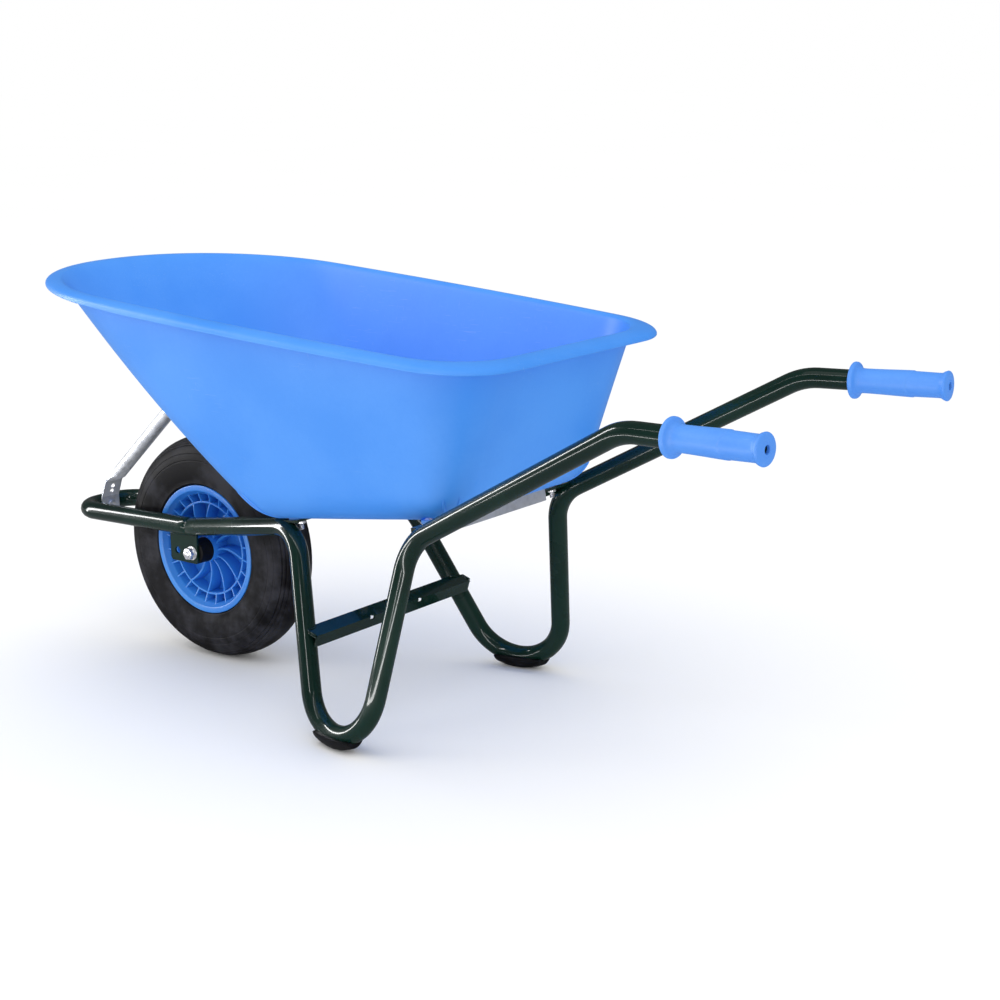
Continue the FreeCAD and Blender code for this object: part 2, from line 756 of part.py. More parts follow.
TYRE_OUTSIDE = [
    (104.2, 36.2),
    (112.7, 38.2),
    (rim_flange_r + 1.0, 38.9),
    (rim_flange_r + 2.0, 42.6),
    (128.0, 45.0),
    (142.0, 46.7),
    (156.0, tyre_half),
    (168.0, 45.2),
    (180.0, 40.5),
    (189.0, 32.0),
    (195.5, 21.0),
    (199.0, 10.0),
    (wheel_radius, 0.0),
]
TYRE_INSIDE = [
    (103.4, 31.5),
    (114.0, 34.5),
    (128.0, 40.5),
    (142.0, 42.6),
    (156.0, 42.8),
    (167.0, 40.5),
    (177.0, 35.5),
    (184.5, 28.5),
    (190.0, 19.0),
    (193.3, 9.0),
    (194.3, 0.0),
]


def tyre():
    outside = TYRE_OUTSIDE + [(radius, -y) for radius, y in reversed(TYRE_OUTSIDE[:-1])]
    inside = TYRE_INSIDE + [(radius, -y) for radius, y in reversed(TYRE_INSIDE[:-1])]
    return revolved_about_axle(outside + list(reversed(inside)))


def shrunk(profile, amount, centre_r):
    """The half profile moved towards the middle of the tyre's cavity."""
    moved = []
    for radius, y in profile:
        reach = math.hypot(radius - centre_r, y)
        scale = (reach - amount) / reach
        moved.append((centre_r + (radius - centre_r) * scale, y * scale))
    return moved


def tube_loop(profile, floor_r, floor_half):
    """A closed ring profile with a flat floor on the rim."""
    far_side = [(radius, -y) for radius, y in reversed(profile[:-1])]
    return revolved_about_axle([(floor_r, floor_half)] + profile + far_side + [(floor_r, -floor_half)])


def inner_tube():
    centre_r = 150.0
    outer = shrunk(TYRE_INSIDE[1:], inner_tube_gap, centre_r)
    inner = shrunk(TYRE_INSIDE[1:], inner_tube_gap + inner_tube_skin, centre_r)
    skin = tube_loop(outer, tube_floor_r, tube_floor_half)
    skin = skin.cut(tube_loop(inner, tube_floor_r + inner_tube_skin, tube_floor_half - 1.0))
    start = along_spoke(tube_floor_r - 4.0, valve_y, VALVE_TURN)
    return skin.cut(Part.makeCylinder(valve_d / 2.0, 12, start, valve_direction()))


def valve_stem():
    top = along_spoke(tube_floor_r + inner_tube_skin, valve_y, VALVE_TURN)
    return Part.makeCylinder(valve_d / 2.0, valve_len, top, -valve_direction())


def valve_cap():
    top = along_spoke(tube_floor_r + inner_tube_skin, valve_y, VALVE_TURN)
    foot = top - valve_direction() * (valve_len - 5.0)
    cap = Part.makeCylinder(valve_cap_d / 2.0, valve_cap_len, foot, -valve_direction())
    return cap.cut(valve_stem())


def hub_bush():
    """A black bush: a spigot in the hub and a boss that reaches the bracket."""
    profile = [
        (m12_d / 2.0 + bush_bore_gap, 6.0),
        (bush_spigot_r, 6.0),
        (bush_spigot_r, hub_half),
        (hub_r - 0.5, hub_half),
        (hub_r - 0.5, bush_flange_out),
        (m12_d / 2.0 + bush_bore_gap, bush_flange_out),
    ]
    return revolved_about_axle(profile)


def both_sides(name, shape):
    save("left_" + name, shape)
    save("right_" + name, mirrored(shape))


def main():
    os.makedirs("parts", exist_ok=True)
    save("tray", tray())
    both_sides("frame_tube", frame_tube())
    both_sides("axle_bracket", axle_bracket())
    both_sides("rear_lug", rear_lug())
    both_sides("front_lug", front_lug())
    both_sides("grip", grip())
    both_sides("foot_pad", foot_pad())
    both_sides("hub_bush", hub_bush())
    save("rear_cross_strap", rear_cross_strap())
    save("leg_brace", leg_brace())
    save("front_strut", front_strut())
    bolts, washers, nuts = tray_fasteners()
    save("tray_bolts", group(bolts))
    save("tray_washers", group(washers))
    save("tray_nuts", group(nuts))
    axis = strut_top_axis()
    inside = strut_top_point() + axis * tray_wall
    save("strut_tray_washer", washer(inside, axis, m8_d + 1, penny_d, penny_t))
    head_at = inside + axis * penny_t
    shank = tray_wall + penny_t + strut_flat_t + 12
    save("strut_tray_bolt", bolt(head_at, axis, m8_d, m8_af, m8_head, shank))
    under = strut_top_point() - axis * strut_flat_t
    save("strut_tray_nut", nut(under, axis, m8_d, m8_af, m8_nut))
    front_face = at(nose_x - tube_r, 0, strut_bolt_z)
    rear_face = at(strut_foot_x + strut_flat_t / 2.0, 0, strut_bolt_z)
    length = rear_face.x - front_face.x + m8_nut + 1.5
    save("strut_foot_bolt", bolt(rear_face, V(1, 0, 0), m8_d, m8_af, m8_head, length))
    save("strut_foot_nut", nut(front_face, V(1, 0, 0), m8_d, m8_af, m8_nut))
    axle, axle_nut, axle_washers = axle_pieces()
    save("axle", axle)
    save("axle_nut", axle_nut)
    save("axle_washers", axle_washers)
    save("wheel_rim", wheel_rim())
    save("tyre", tyre())
    save("inner_tube", inner_tube())
    save("valve_stem", valve_stem())
    save("valve_cap", valve_cap())


main()
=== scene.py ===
# %% [markdown]
# # A wheelbarrow, piece by piece
# A wheelbarrow is three things bolted together: a moulded plastic tray, a frame of bent
# steel tube and one air-filled wheel. The drawing of it, with every size and the one joint,
# is loaded first, and the pieces below are then made in that drawing's own place and scale.
# Nothing has to be fitted afterwards, because both use metres and the same origin.

# %% Load the drawing
import json
import math
import bmesh
import bpy
from mathutils import Matrix, Vector


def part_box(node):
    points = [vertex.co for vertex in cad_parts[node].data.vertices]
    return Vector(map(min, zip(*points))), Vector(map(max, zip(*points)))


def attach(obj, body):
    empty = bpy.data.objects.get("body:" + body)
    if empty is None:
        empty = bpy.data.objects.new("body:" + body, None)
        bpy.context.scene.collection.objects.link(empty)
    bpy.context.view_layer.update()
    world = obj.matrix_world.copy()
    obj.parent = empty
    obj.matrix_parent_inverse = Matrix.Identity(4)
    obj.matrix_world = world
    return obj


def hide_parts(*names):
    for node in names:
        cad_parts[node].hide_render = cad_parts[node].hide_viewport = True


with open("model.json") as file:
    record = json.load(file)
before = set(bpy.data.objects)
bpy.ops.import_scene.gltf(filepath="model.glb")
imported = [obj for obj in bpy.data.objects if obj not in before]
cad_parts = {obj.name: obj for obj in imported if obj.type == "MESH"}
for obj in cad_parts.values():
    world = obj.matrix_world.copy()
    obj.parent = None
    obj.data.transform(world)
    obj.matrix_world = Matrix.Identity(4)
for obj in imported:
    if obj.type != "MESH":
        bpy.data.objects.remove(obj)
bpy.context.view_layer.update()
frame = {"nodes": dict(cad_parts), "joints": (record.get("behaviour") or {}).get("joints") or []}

nodes = frame["nodes"]
mm = 0.001
print("the drawing holds", len(nodes), "parts")

# %% [markdown]
# ## How each piece is made
# Most pieces start as a primitive or a drawn profile and are shaped in edit mode, as by hand.
# An operator acts on whatever is selected, so each helper first selects only what it needs.
# A finished piece keeps its object at the origin and its place in its mesh, so that every
# pattern on Object coordinates sits still.


# %% Select, apply and copy
def only(piece):
    """Select one object and make it active."""
    bpy.ops.object.select_all(action="DESELECT")
    piece.select_set(True)
    bpy.context.view_layer.objects.active = piece


def settle(piece, place=None):
    """Move a piece to its place and put that place into its mesh."""
    only(piece)
    if place is not None:
        piece.matrix_world = place
    bpy.ops.object.transform_apply(location=True, rotation=True, scale=True)


def face_outwards(piece):
    only(piece)
    bpy.ops.object.mode_set(mode="EDIT")
    bpy.ops.mesh.select_all(action="SELECT")
    bpy.ops.mesh.remove_doubles(threshold=0.01 * mm)
    bpy.ops.mesh.normals_make_consistent(inside=False)
    bpy.ops.object.mode_set(mode="OBJECT")


def apply_modifiers(piece):
    only(piece)
    for modifier in list(piece.modifiers):
        bpy.ops.object.modifier_apply(modifier=modifier.name)


def soften(piece, width, segments=2, sharp_from=32.0):
    """Round the sharp edges, as a mould, a press or a file leaves them."""
    bevel = piece.modifiers.new("soft_edges", "BEVEL")
    bevel.width = width
    bevel.segments = segments
    bevel.limit_method = "ANGLE"
    bevel.angle_limit = math.radians(sharp_from)
    apply_modifiers(piece)


def shade(piece, angle=38.0):
    only(piece)
    bpy.ops.object.shade_smooth_by_angle(angle=math.radians(angle))


def copied(piece, name):
    """A copy with its own mesh."""
    only(piece)
    bpy.ops.object.duplicate()
    twin = bpy.context.object
    twin.name = name
    return twin


def mirrored(piece, name):
    """The same piece for the other side of the barrow."""
    twin = copied(piece, name)
    settle(twin, Matrix.Diagonal((1.0, -1.0, 1.0, 1.0)))
    face_outwards(twin)
    return twin


def joined(pieces, name):
    only(pieces[0])
    for piece in pieces:
        piece.select_set(True)
    bpy.ops.object.join()
    result = bpy.context.object
    result.name = name
    return result


# %% [markdown]
# ## Turned pieces
# A tyre, a rim, a grip and a washer are all round about one line, so each is half a section
# spun about it. The section is drawn by extruding one vertex from point to point, and the
# spin operator turns it. Points are (radius, distance along the line) in millimetres.


# %% Draw a section and spin it
def drawn(name, points, closed=True):
    """A chain of edges through points given in metres."""
    bpy.ops.object.select_all(action="DESELECT")
    bpy.ops.mesh.primitive_plane_add(size=mm, location=(0.0, 0.0, 0.0))
    piece = bpy.context.object
    piece.name = name
    bpy.ops.object.mode_set(mode="EDIT")
    bpy.ops.mesh.select_mode(type="VERT")
    bpy.ops.mesh.select_all(action="SELECT")
    bpy.ops.mesh.merge(type="CENTER")
    bpy.ops.transform.translate(value=Vector(points[0]))
    loop = list(points) + ([points[0]] if closed else [])
    for before, after in zip(loop, loop[1:]):
        step = Vector(after) - Vector(before)
        bpy.ops.mesh.extrude_region_move(TRANSFORM_OT_translate={"value": step})
    bpy.ops.object.mode_set(mode="OBJECT")
    return piece


def line_frame(origin, along, start=Vector((0.0, 0.0, 1.0))):
    """A placement whose Z runs along a line, with X turned towards start."""
    z = Vector(along).normalized()
    x = (start - z * start.dot(z)).normalized()
    y = z.cross(x)
    place = Matrix((x, y, z)).transposed().to_4x4()
    place.translation = Vector(origin)
    return place


def turned(name, profile, place, steps=64, closed=True):
    """A ring or shaft from a section of (radius, along) points."""
    points = [(radius * mm, 0.0, along * mm) for radius, along in profile]
    piece = drawn(name, points, closed)
    only(piece)
    bpy.ops.object.mode_set(mode="EDIT")
    bpy.ops.mesh.select_all(action="SELECT")
    bpy.ops.mesh.spin(steps=steps, angle=2.0 * math.pi, center=(0, 0, 0), axis=(0, 0, 1))
    bpy.ops.object.mode_set(mode="OBJECT")
    face_outwards(piece)
    settle(piece, place)
    return piece


def arc(centre, radius, start, end, count):
    """Points of a round corner in a section, with angles in degrees."""
    points = []
    for step in range(count + 1):
        turn = math.radians(start + (end - start) * step / count)
        points.append((centre[0] + radius * math.cos(turn), centre[1] + radius * math.sin(turn)))
    return points


# %% [markdown]
# ## The finishes
# Six things are seen: tray plastic, wheel plastic, tyre rubber, green powder coat, zinc and
# black plastic. Several share an effect, such as a fine moulded grain or dust from the path,
# so each effect is a node group that is built once and placed in each finish with its own
# values. The group gives colours and heights that change over the surface, and the shader
# itself stays in the finish.


# %% Build a node group
def effect(name, inputs, outputs):
    """A shader node group with named sockets; returns it with its two end nodes."""
    group = bpy.data.node_groups.new(name, "ShaderNodeTree")
    for label, kind, value in inputs:
        socket = group.interface.new_socket(label, in_out="INPUT", socket_type=kind)
        if value is not None:
            socket.default_value = value
    for label, kind in outputs:
        group.interface.new_socket(label, in_out="OUTPUT", socket_type=kind)
    return group, group.nodes.new("NodeGroupInput"), group.nodes.new("NodeGroupOutput")


def noise(tree, vector, scale, detail=3.0, rough=0.5):
    node = tree.nodes.new("ShaderNodeTexNoise")
    node.inputs["Scale"].default_value = scale
    node.inputs["Detail"].default_value = detail
    node.inputs["Roughness"].default_value = rough
    tree.links.new(vector, node.inputs["Vector"])
    return node.outputs["Fac"]


def band(tree, value, low, high, out_low=0.0, out_high=1.0):
    """Spread a value between two limits, smoothly."""
    node = tree.nodes.new("ShaderNodeMapRange")
    node.interpolation_type = "SMOOTHSTEP"
    for index, number in enumerate((low, high, out_low, out_high)):
        node.inputs[index + 1].default_value = number
    tree.links.new(value, node.inputs[0])
    return node.outputs[0]


def maths(tree, kind, first, second):
    node = tree.nodes.new("ShaderNodeMath")
    node.operation = kind
    for index, value in enumerate((first, second)):
        if isinstance(value, float):
            node.inputs[index].default_value = value
        else:
            tree.links.new(value, node.inputs[index])
    return node.outputs[0]


def blended(tree, share, first, second):
    """Mix two colours, each a tuple or a socket."""
    node = tree.nodes.new("ShaderNodeMix")
    node.data_type = "RGBA"
    colour_inputs = [socket for socket in node.inputs if socket.type == "RGBA"]
    for socket, value in zip(colour_inputs, (first, second)):
        if isinstance(value, tuple):
            socket.default_value = value
        else:
            tree.links.new(value, socket)
    tree.links.new(share, node.inputs["Factor"])
    return [socket for socket in node.outputs if socket.type == "RGBA"][0]


def stretched(tree, vector, scale):
    node = tree.nodes.new("ShaderNodeMapping")
    node.inputs["Scale"].default_value = scale
    tree.links.new(vector, node.inputs["Vector"])
    return node.outputs[0]


# %% The shared effects
def make_grain():
    """Fine moulded grain, with wide soft swells, as a height."""
    inputs = [("Vector", "NodeSocketVector", None), ("Scale", "NodeSocketFloat", 1.0)]
    group, start, end = effect("moulded_grain", inputs, [("Height", "NodeSocketFloat")])
    scaled = group.nodes.new("ShaderNodeVectorMath")
    scaled.operation = "SCALE"
    group.links.new(start.outputs["Vector"], scaled.inputs[0])
    group.links.new(start.outputs["Scale"], scaled.inputs["Scale"])
    fine = noise(group, scaled.outputs[0], 900.0, 2.0)
    wide = noise(group, scaled.outputs[0], 14.0, 2.0)
    total = maths(group, "ADD", maths(group, "MULTIPLY", fine, 0.35), wide)
    group.links.new(total, end.inputs["Height"])
    return group


def make_tone():
    """Cloudy changes of tone from one colour to another."""
    inputs = [
        ("Vector", "NodeSocketVector", None),
        ("Light", "NodeSocketColor", (1.0, 1.0, 1.0, 1.0)),
        ("Deep", "NodeSocketColor", (0.0, 0.0, 0.0, 1.0)),
    ]
    outputs = [("Color", "NodeSocketColor"), ("Cloud", "NodeSocketFloat")]
    group, start, end = effect("cloudy_tone", inputs, outputs)
    cloud = noise(group, start.outputs["Vector"], 5.0, 4.0, 0.55)
    speck = noise(group, start.outputs["Vector"], 160.0, 3.0, 0.6)
    share = maths(group, "ADD", maths(group, "MULTIPLY", speck, 0.18), cloud)
    spread = band(group, share, 0.42, 0.76)
    colour = blended(group, spread, start.outputs["Deep"], start.outputs["Light"])
    group.links.new(colour, end.inputs["Color"])
    group.links.new(cloud, end.inputs["Cloud"])
    return group


def make_scuffs():
    """Thin scratches and rub marks: a mask and a height."""
    inputs = [("Vector", "NodeSocketVector", None), ("Amount", "NodeSocketFloat", 0.5)]
    outputs = [("Mask", "NodeSocketFloat"), ("Height", "NodeSocketFloat")]
    group, start, end = effect("scuffs", inputs, outputs)
    vector = start.outputs["Vector"]
    long_marks = noise(group, stretched(group, vector, (9.0, 90.0, 260.0)), 3.0, 2.0)
    cross_marks = noise(group, stretched(group, vector, (210.0, 60.0, 12.0)), 3.0, 2.0)
    patches = band(group, noise(group, vector, 7.0, 3.0), 0.5, 0.68)
    long_lines = band(group, long_marks, 0.66, 0.72)
    cross_lines = band(group, cross_marks, 0.68, 0.74)
    shown = maths(group, "MULTIPLY", maths(group, "MAXIMUM", long_lines, cross_lines), patches)
    mask = maths(group, "MULTIPLY", shown, start.outputs["Amount"])
    group.links.new(mask, end.inputs["Mask"])
    group.links.new(maths(group, "SUBTRACT", 1.0, mask), end.inputs["Height"])
    return group


def make_dust():
    """Pale dust, thickest near the ground, laid over a colour."""
    inputs = [
        ("Vector", "NodeSocketVector", None),
        ("Color", "NodeSocketColor", (0.0, 0.0, 0.0, 1.0)),
        ("Dust", "NodeSocketColor", (0.3, 0.28, 0.25, 1.0)),
        ("Amount", "NodeSocketFloat", 0.3),
        ("Top", "NodeSocketFloat", 0.4),
    ]
    outputs = [("Color", "NodeSocketColor"), ("Mask", "NodeSocketFloat")]
    group, start, end = effect("path_dust", inputs, outputs)
    parts = group.nodes.new("ShaderNodeSeparateXYZ")
    group.links.new(start.outputs["Vector"], parts.inputs[0])
    height = maths(group, "DIVIDE", parts.outputs["Z"], start.outputs["Top"])
    low = band(group, height, 1.0, 0.0, 0.25, 1.0)
    cloud = band(group, noise(group, start.outputs["Vector"], 16.0, 5.0, 0.6), 0.42, 0.7)
    mask = maths(group, "MULTIPLY", maths(group, "MULTIPLY", cloud, low), start.outputs["Amount"])
    colour = blended(group, mask, start.outputs["Color"], start.outputs["Dust"])
    group.links.new(colour, end.inputs["Color"])
    group.links.new(mask, end.inputs["Mask"])
    return group


grain, tone, scuffs, dust = make_grain(), make_tone(), make_scuffs(), make_dust()


# %% Place an effect in a finish
def placed(tree, group, vector, **values):
    """Add a group node; values set its other sockets by name, as numbers, colours or links."""
    node = tree.nodes.new("ShaderNodeGroup")
    node.node_tree = group
    tree.links.new(vector, node.inputs["Vector"])
    for label, value in values.items():
        if isinstance(value, bpy.types.NodeSocket):
            tree.links.new(value, node.inputs[label])
        else:
            node.inputs[label].default_value = value
    return node


def finish(name, **shader_values):
    """A new material: its tree, its Principled shader and its Object coordinates."""
    material = bpy.data.materials.new(name)
    material.use_nodes = True
    tree = material.node_tree
    shader = tree.nodes["Principled BSDF"]
    for label, value in shader_values.items():
        shader.inputs[label.replace("_", " ")].default_value = value
    place = tree.nodes.new("ShaderNodeTexCoord").outputs["Object"]
    return material, tree, shader, place


def raise_surface(tree, shader, height, distance, strength=1.0):
    bump = tree.nodes.new("ShaderNodeBump")
    bump.inputs["Distance"].default_value = distance
    bump.inputs["Strength"].default_value = strength
    tree.links.new(height, bump.inputs["Height"])
    tree.links.new(bump.outputs["Normal"], shader.inputs["Normal"])


# %% [markdown]
# ## Plastic, rubber, paint and zinc
# The tray and grips are the same soft blue plastic: a little cloudy, with a fine grain and a
# few rub marks that catch the light. The wheel's plastic is glossier. The tyre is nearly
# black with grey dust rubbed into its sides. Powder coat is smooth and deep, with the slight
# orange-peel of baked paint, and zinc has pale cloudy crystals.


# %% The blue plastics
def make_blue(name, light, deep, rough, grain_depth, scuff_amount):
    material, tree, shader, place = finish(name, Specular_IOR_Level=0.45)
    colours = placed(tree, tone, place, Light=light, Deep=deep)
    marks = placed(tree, scuffs, place, Amount=scuff_amount)
    pale = blended(tree, marks.outputs["Mask"], colours.outputs["Color"], (0.42, 0.62, 0.95, 1.0))
    tree.links.new(pale, shader.inputs["Base Color"])
    worn = maths(tree, "MULTIPLY", marks.outputs["Mask"], 0.2)
    cloud = band(tree, colours.outputs["Cloud"], 0.3, 0.7, rough - 0.05, rough + 0.06)
    tree.links.new(maths(tree, "ADD", cloud, worn), shader.inputs["Roughness"])
    texture = placed(tree, grain, place, Scale=1.0)
    total = maths(tree, "ADD", texture.outputs["Height"], marks.outputs["Height"])
    raise_surface(tree, shader, total, grain_depth)
    return material


tray_blue = make_blue(
    "tray_plastic", (0.060, 0.315, 0.93, 1.0), (0.044, 0.285, 0.90, 1.0), 0.46, 0.00008, 0.2
)
grip_blue = make_blue(
    "grip_plastic", (0.085, 0.32, 0.90, 1.0), (0.062, 0.275, 0.87, 1.0), 0.46, 0.00012, 0.3
)
rim_blue = make_blue("rim_plastic", (0.035, 0.26, 0.78, 1.0), (0.02, 0.19, 0.70, 1.0), 0.34, 0.00015, 0.25)


# %% Tyre rubber and black plastic
def make_black(name, base, dust_colour, dust_amount, dust_top, rough, depth):
    material, tree, shader, place = finish(name, Specular_IOR_Level=0.1)
    deeper = tuple(channel * 0.6 for channel in base[:3]) + (1.0,)
    colours = placed(tree, tone, place, Light=base, Deep=deeper)
    base_colour = colours.outputs["Color"]
    layer = placed(
        tree, dust, place, Color=base_colour, Dust=dust_colour, Amount=dust_amount, Top=dust_top
    )
    tree.links.new(layer.outputs["Color"], shader.inputs["Base Color"])
    dull = maths(tree, "MULTIPLY", layer.outputs["Mask"], 0.3)
    cloud = band(tree, colours.outputs["Cloud"], 0.3, 0.7, rough - 0.06, rough + 0.08)
    tree.links.new(maths(tree, "ADD", cloud, dull), shader.inputs["Roughness"])
    texture = placed(tree, grain, place, Scale=0.8)
    raise_surface(tree, shader, texture.outputs["Height"], depth)
    return material


grey_dust = (0.10, 0.10, 0.12, 1.0)
tyre_black = make_black("tyre_rubber", (0.007, 0.0065, 0.009, 1.0), grey_dust, 0.36, 0.9, 0.5, 0.00025)
tube_black = make_black("valve_rubber", (0.008, 0.008, 0.008, 1.0), grey_dust, 0.2, 0.9, 0.5, 0.0003)
part_black = make_black("black_plastic", (0.006, 0.006, 0.007, 1.0), grey_dust, 0.15, 0.15, 0.33, 0.0003)


# %% Green powder coat
def make_green():
    material, tree, shader, place = finish(
        "green_powder_coat", Specular_IOR_Level=0.08, Coat_Weight=0.55, Coat_Roughness=0.06
    )
    colours = placed(tree, tone, place, Light=(0.0045, 0.026, 0.018, 1.0), Deep=(0.0025, 0.015, 0.011, 1.0))
    base_colour = colours.outputs["Color"]
    green_dust = (0.05, 0.06, 0.055, 1.0)
    layer = placed(tree, dust, place, Color=base_colour, Dust=green_dust, Amount=0.08, Top=0.3)
    tree.links.new(layer.outputs["Color"], shader.inputs["Base Color"])
    peel = noise(tree, place, 260.0, 2.0)
    swell = noise(tree, place, 40.0, 2.0)
    cloud = band(tree, colours.outputs["Cloud"], 0.3, 0.7, 0.2, 0.3)
    dull = maths(tree, "MULTIPLY", layer.outputs["Mask"], 0.6)
    tree.links.new(maths(tree, "ADD", cloud, dull), shader.inputs["Roughness"])
    raise_surface(tree, shader, maths(tree, "ADD", peel, swell), 0.000001)
    return material


green_coat = make_green()


# %% Zinc plating
def make_zinc(name, light, deep, rough, brushed):
    """Plated steel: crystal clouds, and fine drawn lines along X."""
    material, tree, shader, place = finish(name, Metallic=0.8)
    crystals = tree.nodes.new("ShaderNodeTexVoronoi")
    crystals.inputs["Scale"].default_value = 90.0
    tree.links.new(place, crystals.inputs["Vector"])
    lines = noise(tree, stretched(tree, place, (12.0, 700.0, 700.0)), 1.0, 3.0)
    colours = placed(tree, tone, place, Light=light, Deep=deep)
    patch = band(tree, crystals.outputs["Distance"], 0.0, 1.0, 0.0, 0.5)
    colour = blended(tree, patch, colours.outputs["Color"], light)
    tree.links.new(colour, shader.inputs["Base Color"])
    drawn_lines = maths(tree, "MULTIPLY", lines, brushed)
    patchy = band(tree, patch, 0.0, 0.5, rough, rough + 0.12)
    tree.links.new(maths(tree, "ADD", drawn_lines, patchy), shader.inputs["Roughness"])
    raise_surface(tree, shader, maths(tree, "ADD", lines, patch), 0.000006)
    return material


zinc_plate = make_zinc("zinc_plate", (0.80, 0.82, 0.86, 1.0), (0.55, 0.57, 0.61, 1.0), 0.32, 0.18)
zinc_bolt = make_zinc("zinc_bolt", (0.86, 0.86, 0.88, 1.0), (0.62, 0.62, 0.66, 1.0), 0.2, 0.12)
FINISHES = {
    "tray_plastic": (tray_blue, "blue_poly"),
    "grip_plastic": (grip_blue, "blue_poly"),
    "rim_plastic": (rim_blue, "rim_poly"),
    "tyre_rubber": (tyre_black, "tyre"),
    "valve_rubber": (tube_black, "black_rubber"),
    "black_plastic": (part_black, "black_plastic"),
    "green_coat": (green_coat, "green_coat"),
    "zinc_plate": (zinc_plate, "zinc"),
    "zinc_bolt": (zinc_bolt, "zinc"),
}


# %% Give a piece its finish and its place on the barrow
def hand_over(piece, finish_name, body, *replaced):
    """Paint a piece, fix it to a body and hide the drawn parts that it stands for."""
    material, slot = FINISHES[finish_name]
    piece.data.materials.clear()
    piece.data.materials.append(material)
    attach(piece, body)
    if replaced:
        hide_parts(*replaced)
    print(f"{piece.name}: {len(piece.data.polygons)} faces")


def paint(node_name, finish_name):
    """A drawn part whose shape is right keeps its mesh and gets its finish."""
    node = nodes[node_name]
    node.data.materials.clear()
    node.data.materials.append(FINISHES[finish_name][0])

# %% [markdown]
# ## The tray
# The tray is one moulding of blue plastic: a sloping front, leaning sides, a soft round edge
# all round the floor and a rolled flange at the rim. It could be a box with bevels, but its
# corners grow from tight at the floor to very round at the rim, so it is better thought of
# as a stack of outlines. A grid is wrapped round like a sheet of paper: each row becomes one
# outline, going up the outside, over the flange and down the inside, so that the wall has
# its real thickness.

# %% Sizes shared by the tray and the frame, in millimetres
axle = Vector(frame["joints"][0]["pos_m"])
floor_z0, floor_slope = 272.0, 0.145
rim_z0, rim_slope = 678.6, -0.0708
tray_wall = 4.0


def at(x, y, z):
    """A point in metres from millimetres measured along X from the axle."""
    return Vector((axle.x + x * mm, y * mm, z * mm))


def floor_height(x):
    return floor_z0 + floor_slope * x


def rim_height(x):
    return rim_z0 + rim_slope * x


def mix(low, high, level):
    return low + (high - low) * level


# %% One outline of the tray
side_bow_radius = 5200.0
run_steps, front_corner_steps, bow_steps, rear_corner_steps = 6, 20, 22, 14


def swept(centre, begin, end, steps):
    """Points from begin to end along the circle round a centre, without the first."""
    start = math.atan2(begin.y - centre.y, begin.x - centre.x)
    turn = math.atan2(end.y - centre.y, end.x - centre.x) - start
    turn = (turn + math.pi) % (2.0 * math.pi) - math.pi
    radius = (begin - centre).length
    points = []
    for step in range(1, steps + 1):
        angle = start + turn * step / steps
        points.append(centre + Vector((math.cos(angle), math.sin(angle))) * radius)
    return points


def outline(front, rear, half_front, half_rear, front_r, rear_r, height):
    """A ring of points: straight front, round corner, bowed side, round corner, straight rear."""
    front_c = Vector((front + front_r, half_front - front_r))
    rear_c = Vector((rear - rear_r, half_rear - rear_r))
    near, far = side_bow_radius - front_r, side_bow_radius - rear_r
    span = (rear_c - front_c).length
    along = (near ** 2 - far ** 2 + span ** 2) / (2.0 * span)
    unit = (rear_c - front_c).normalized()
    bow_c = front_c + unit * along + Vector((unit.y, -unit.x)) * math.sqrt(near ** 2 - along ** 2)
    side_start = front_c + (front_c - bow_c).normalized() * front_r
    side_end = rear_c + (rear_c - bow_c).normalized() * rear_r
    half = [Vector((front, front_c.y * step / run_steps)) for step in range(run_steps + 1)]
    half += swept(front_c, half[-1], side_start, front_corner_steps)
    half += swept(bow_c, side_start, side_end, bow_steps)
    half += swept(rear_c, side_end, Vector((rear, rear_c.y)), rear_corner_steps)
    half += [Vector((rear, rear_c.y * (1.0 - step / run_steps))) for step in range(1, run_steps + 1)]
    ring = half + [Vector((point.x, -point.y)) for point in reversed(half[1:-1])]
    return [at(point.x, point.y, height(point.x)) for point in ring]


# %% The wall at any level, and the flange at any reach
floor_blend, least_corner, wall_depth = 72.0, 12.0, 330.0
front_lean, side_lean, rear_lean = math.radians(38), math.radians(15), math.radians(14)
flange_reach, flange_rear_reach, flange_rear_radius = 25.0, 30.0, 116.0
rim_front, rim_rear = -225.0, 758.0


def blend_inset(lift, radius, lean):
    """How far the floor's round edge lies inside the leaning wall."""
    cut = radius * math.tan((math.pi / 2.0 - lean) / 2.0)
    if lift >= cut * math.cos(lean):
        return 0.0
    return cut - math.sqrt(radius ** 2 - (radius - lift) ** 2) + lift * math.tan(lean)


def wall_ring(level, inside=False):
    """The outside or inside of the wall, from level 0 at the floor to 1 at the rim."""
    skin = tray_wall if inside else 0.0
    lift = level * wall_depth
    side_in = blend_inset(lift, floor_blend - skin, side_lean) + skin * 0.76
    rear_in = blend_inset(lift, floor_blend - skin, rear_lean) + skin * 0.76
    front_in = blend_inset(lift, floor_blend - skin, front_lean) + skin * 0.36
    half_front = mix(169.5, 275.0, level) - side_in
    front_r = max(least_corner, min(mix(42.0, 266.0, level) - side_in, half_front - 4.0))
    return outline(
        mix(266.0, rim_front, level) + front_in,
        mix(680.0, rim_rear, level) - rear_in,
        half_front,
        mix(183.0, 260.0, level) - side_in,
        front_r,
        max(least_corner, mix(46.0, 114.0, level) - rear_in),
        lambda x: mix(floor_height(x), rim_height(x), level) + skin,
    )


def flange_lowering(x):
    """The flange lies flatter in front and behind than along the sides."""
    full_x = 120.0
    if x < full_x:
        return mix(0.5, 1.0, max(0.0, (x - rim_front) / (full_x - rim_front)))
    return mix(1.0, 0.86, min(1.0, (x - full_x) / (rim_rear - full_x)))


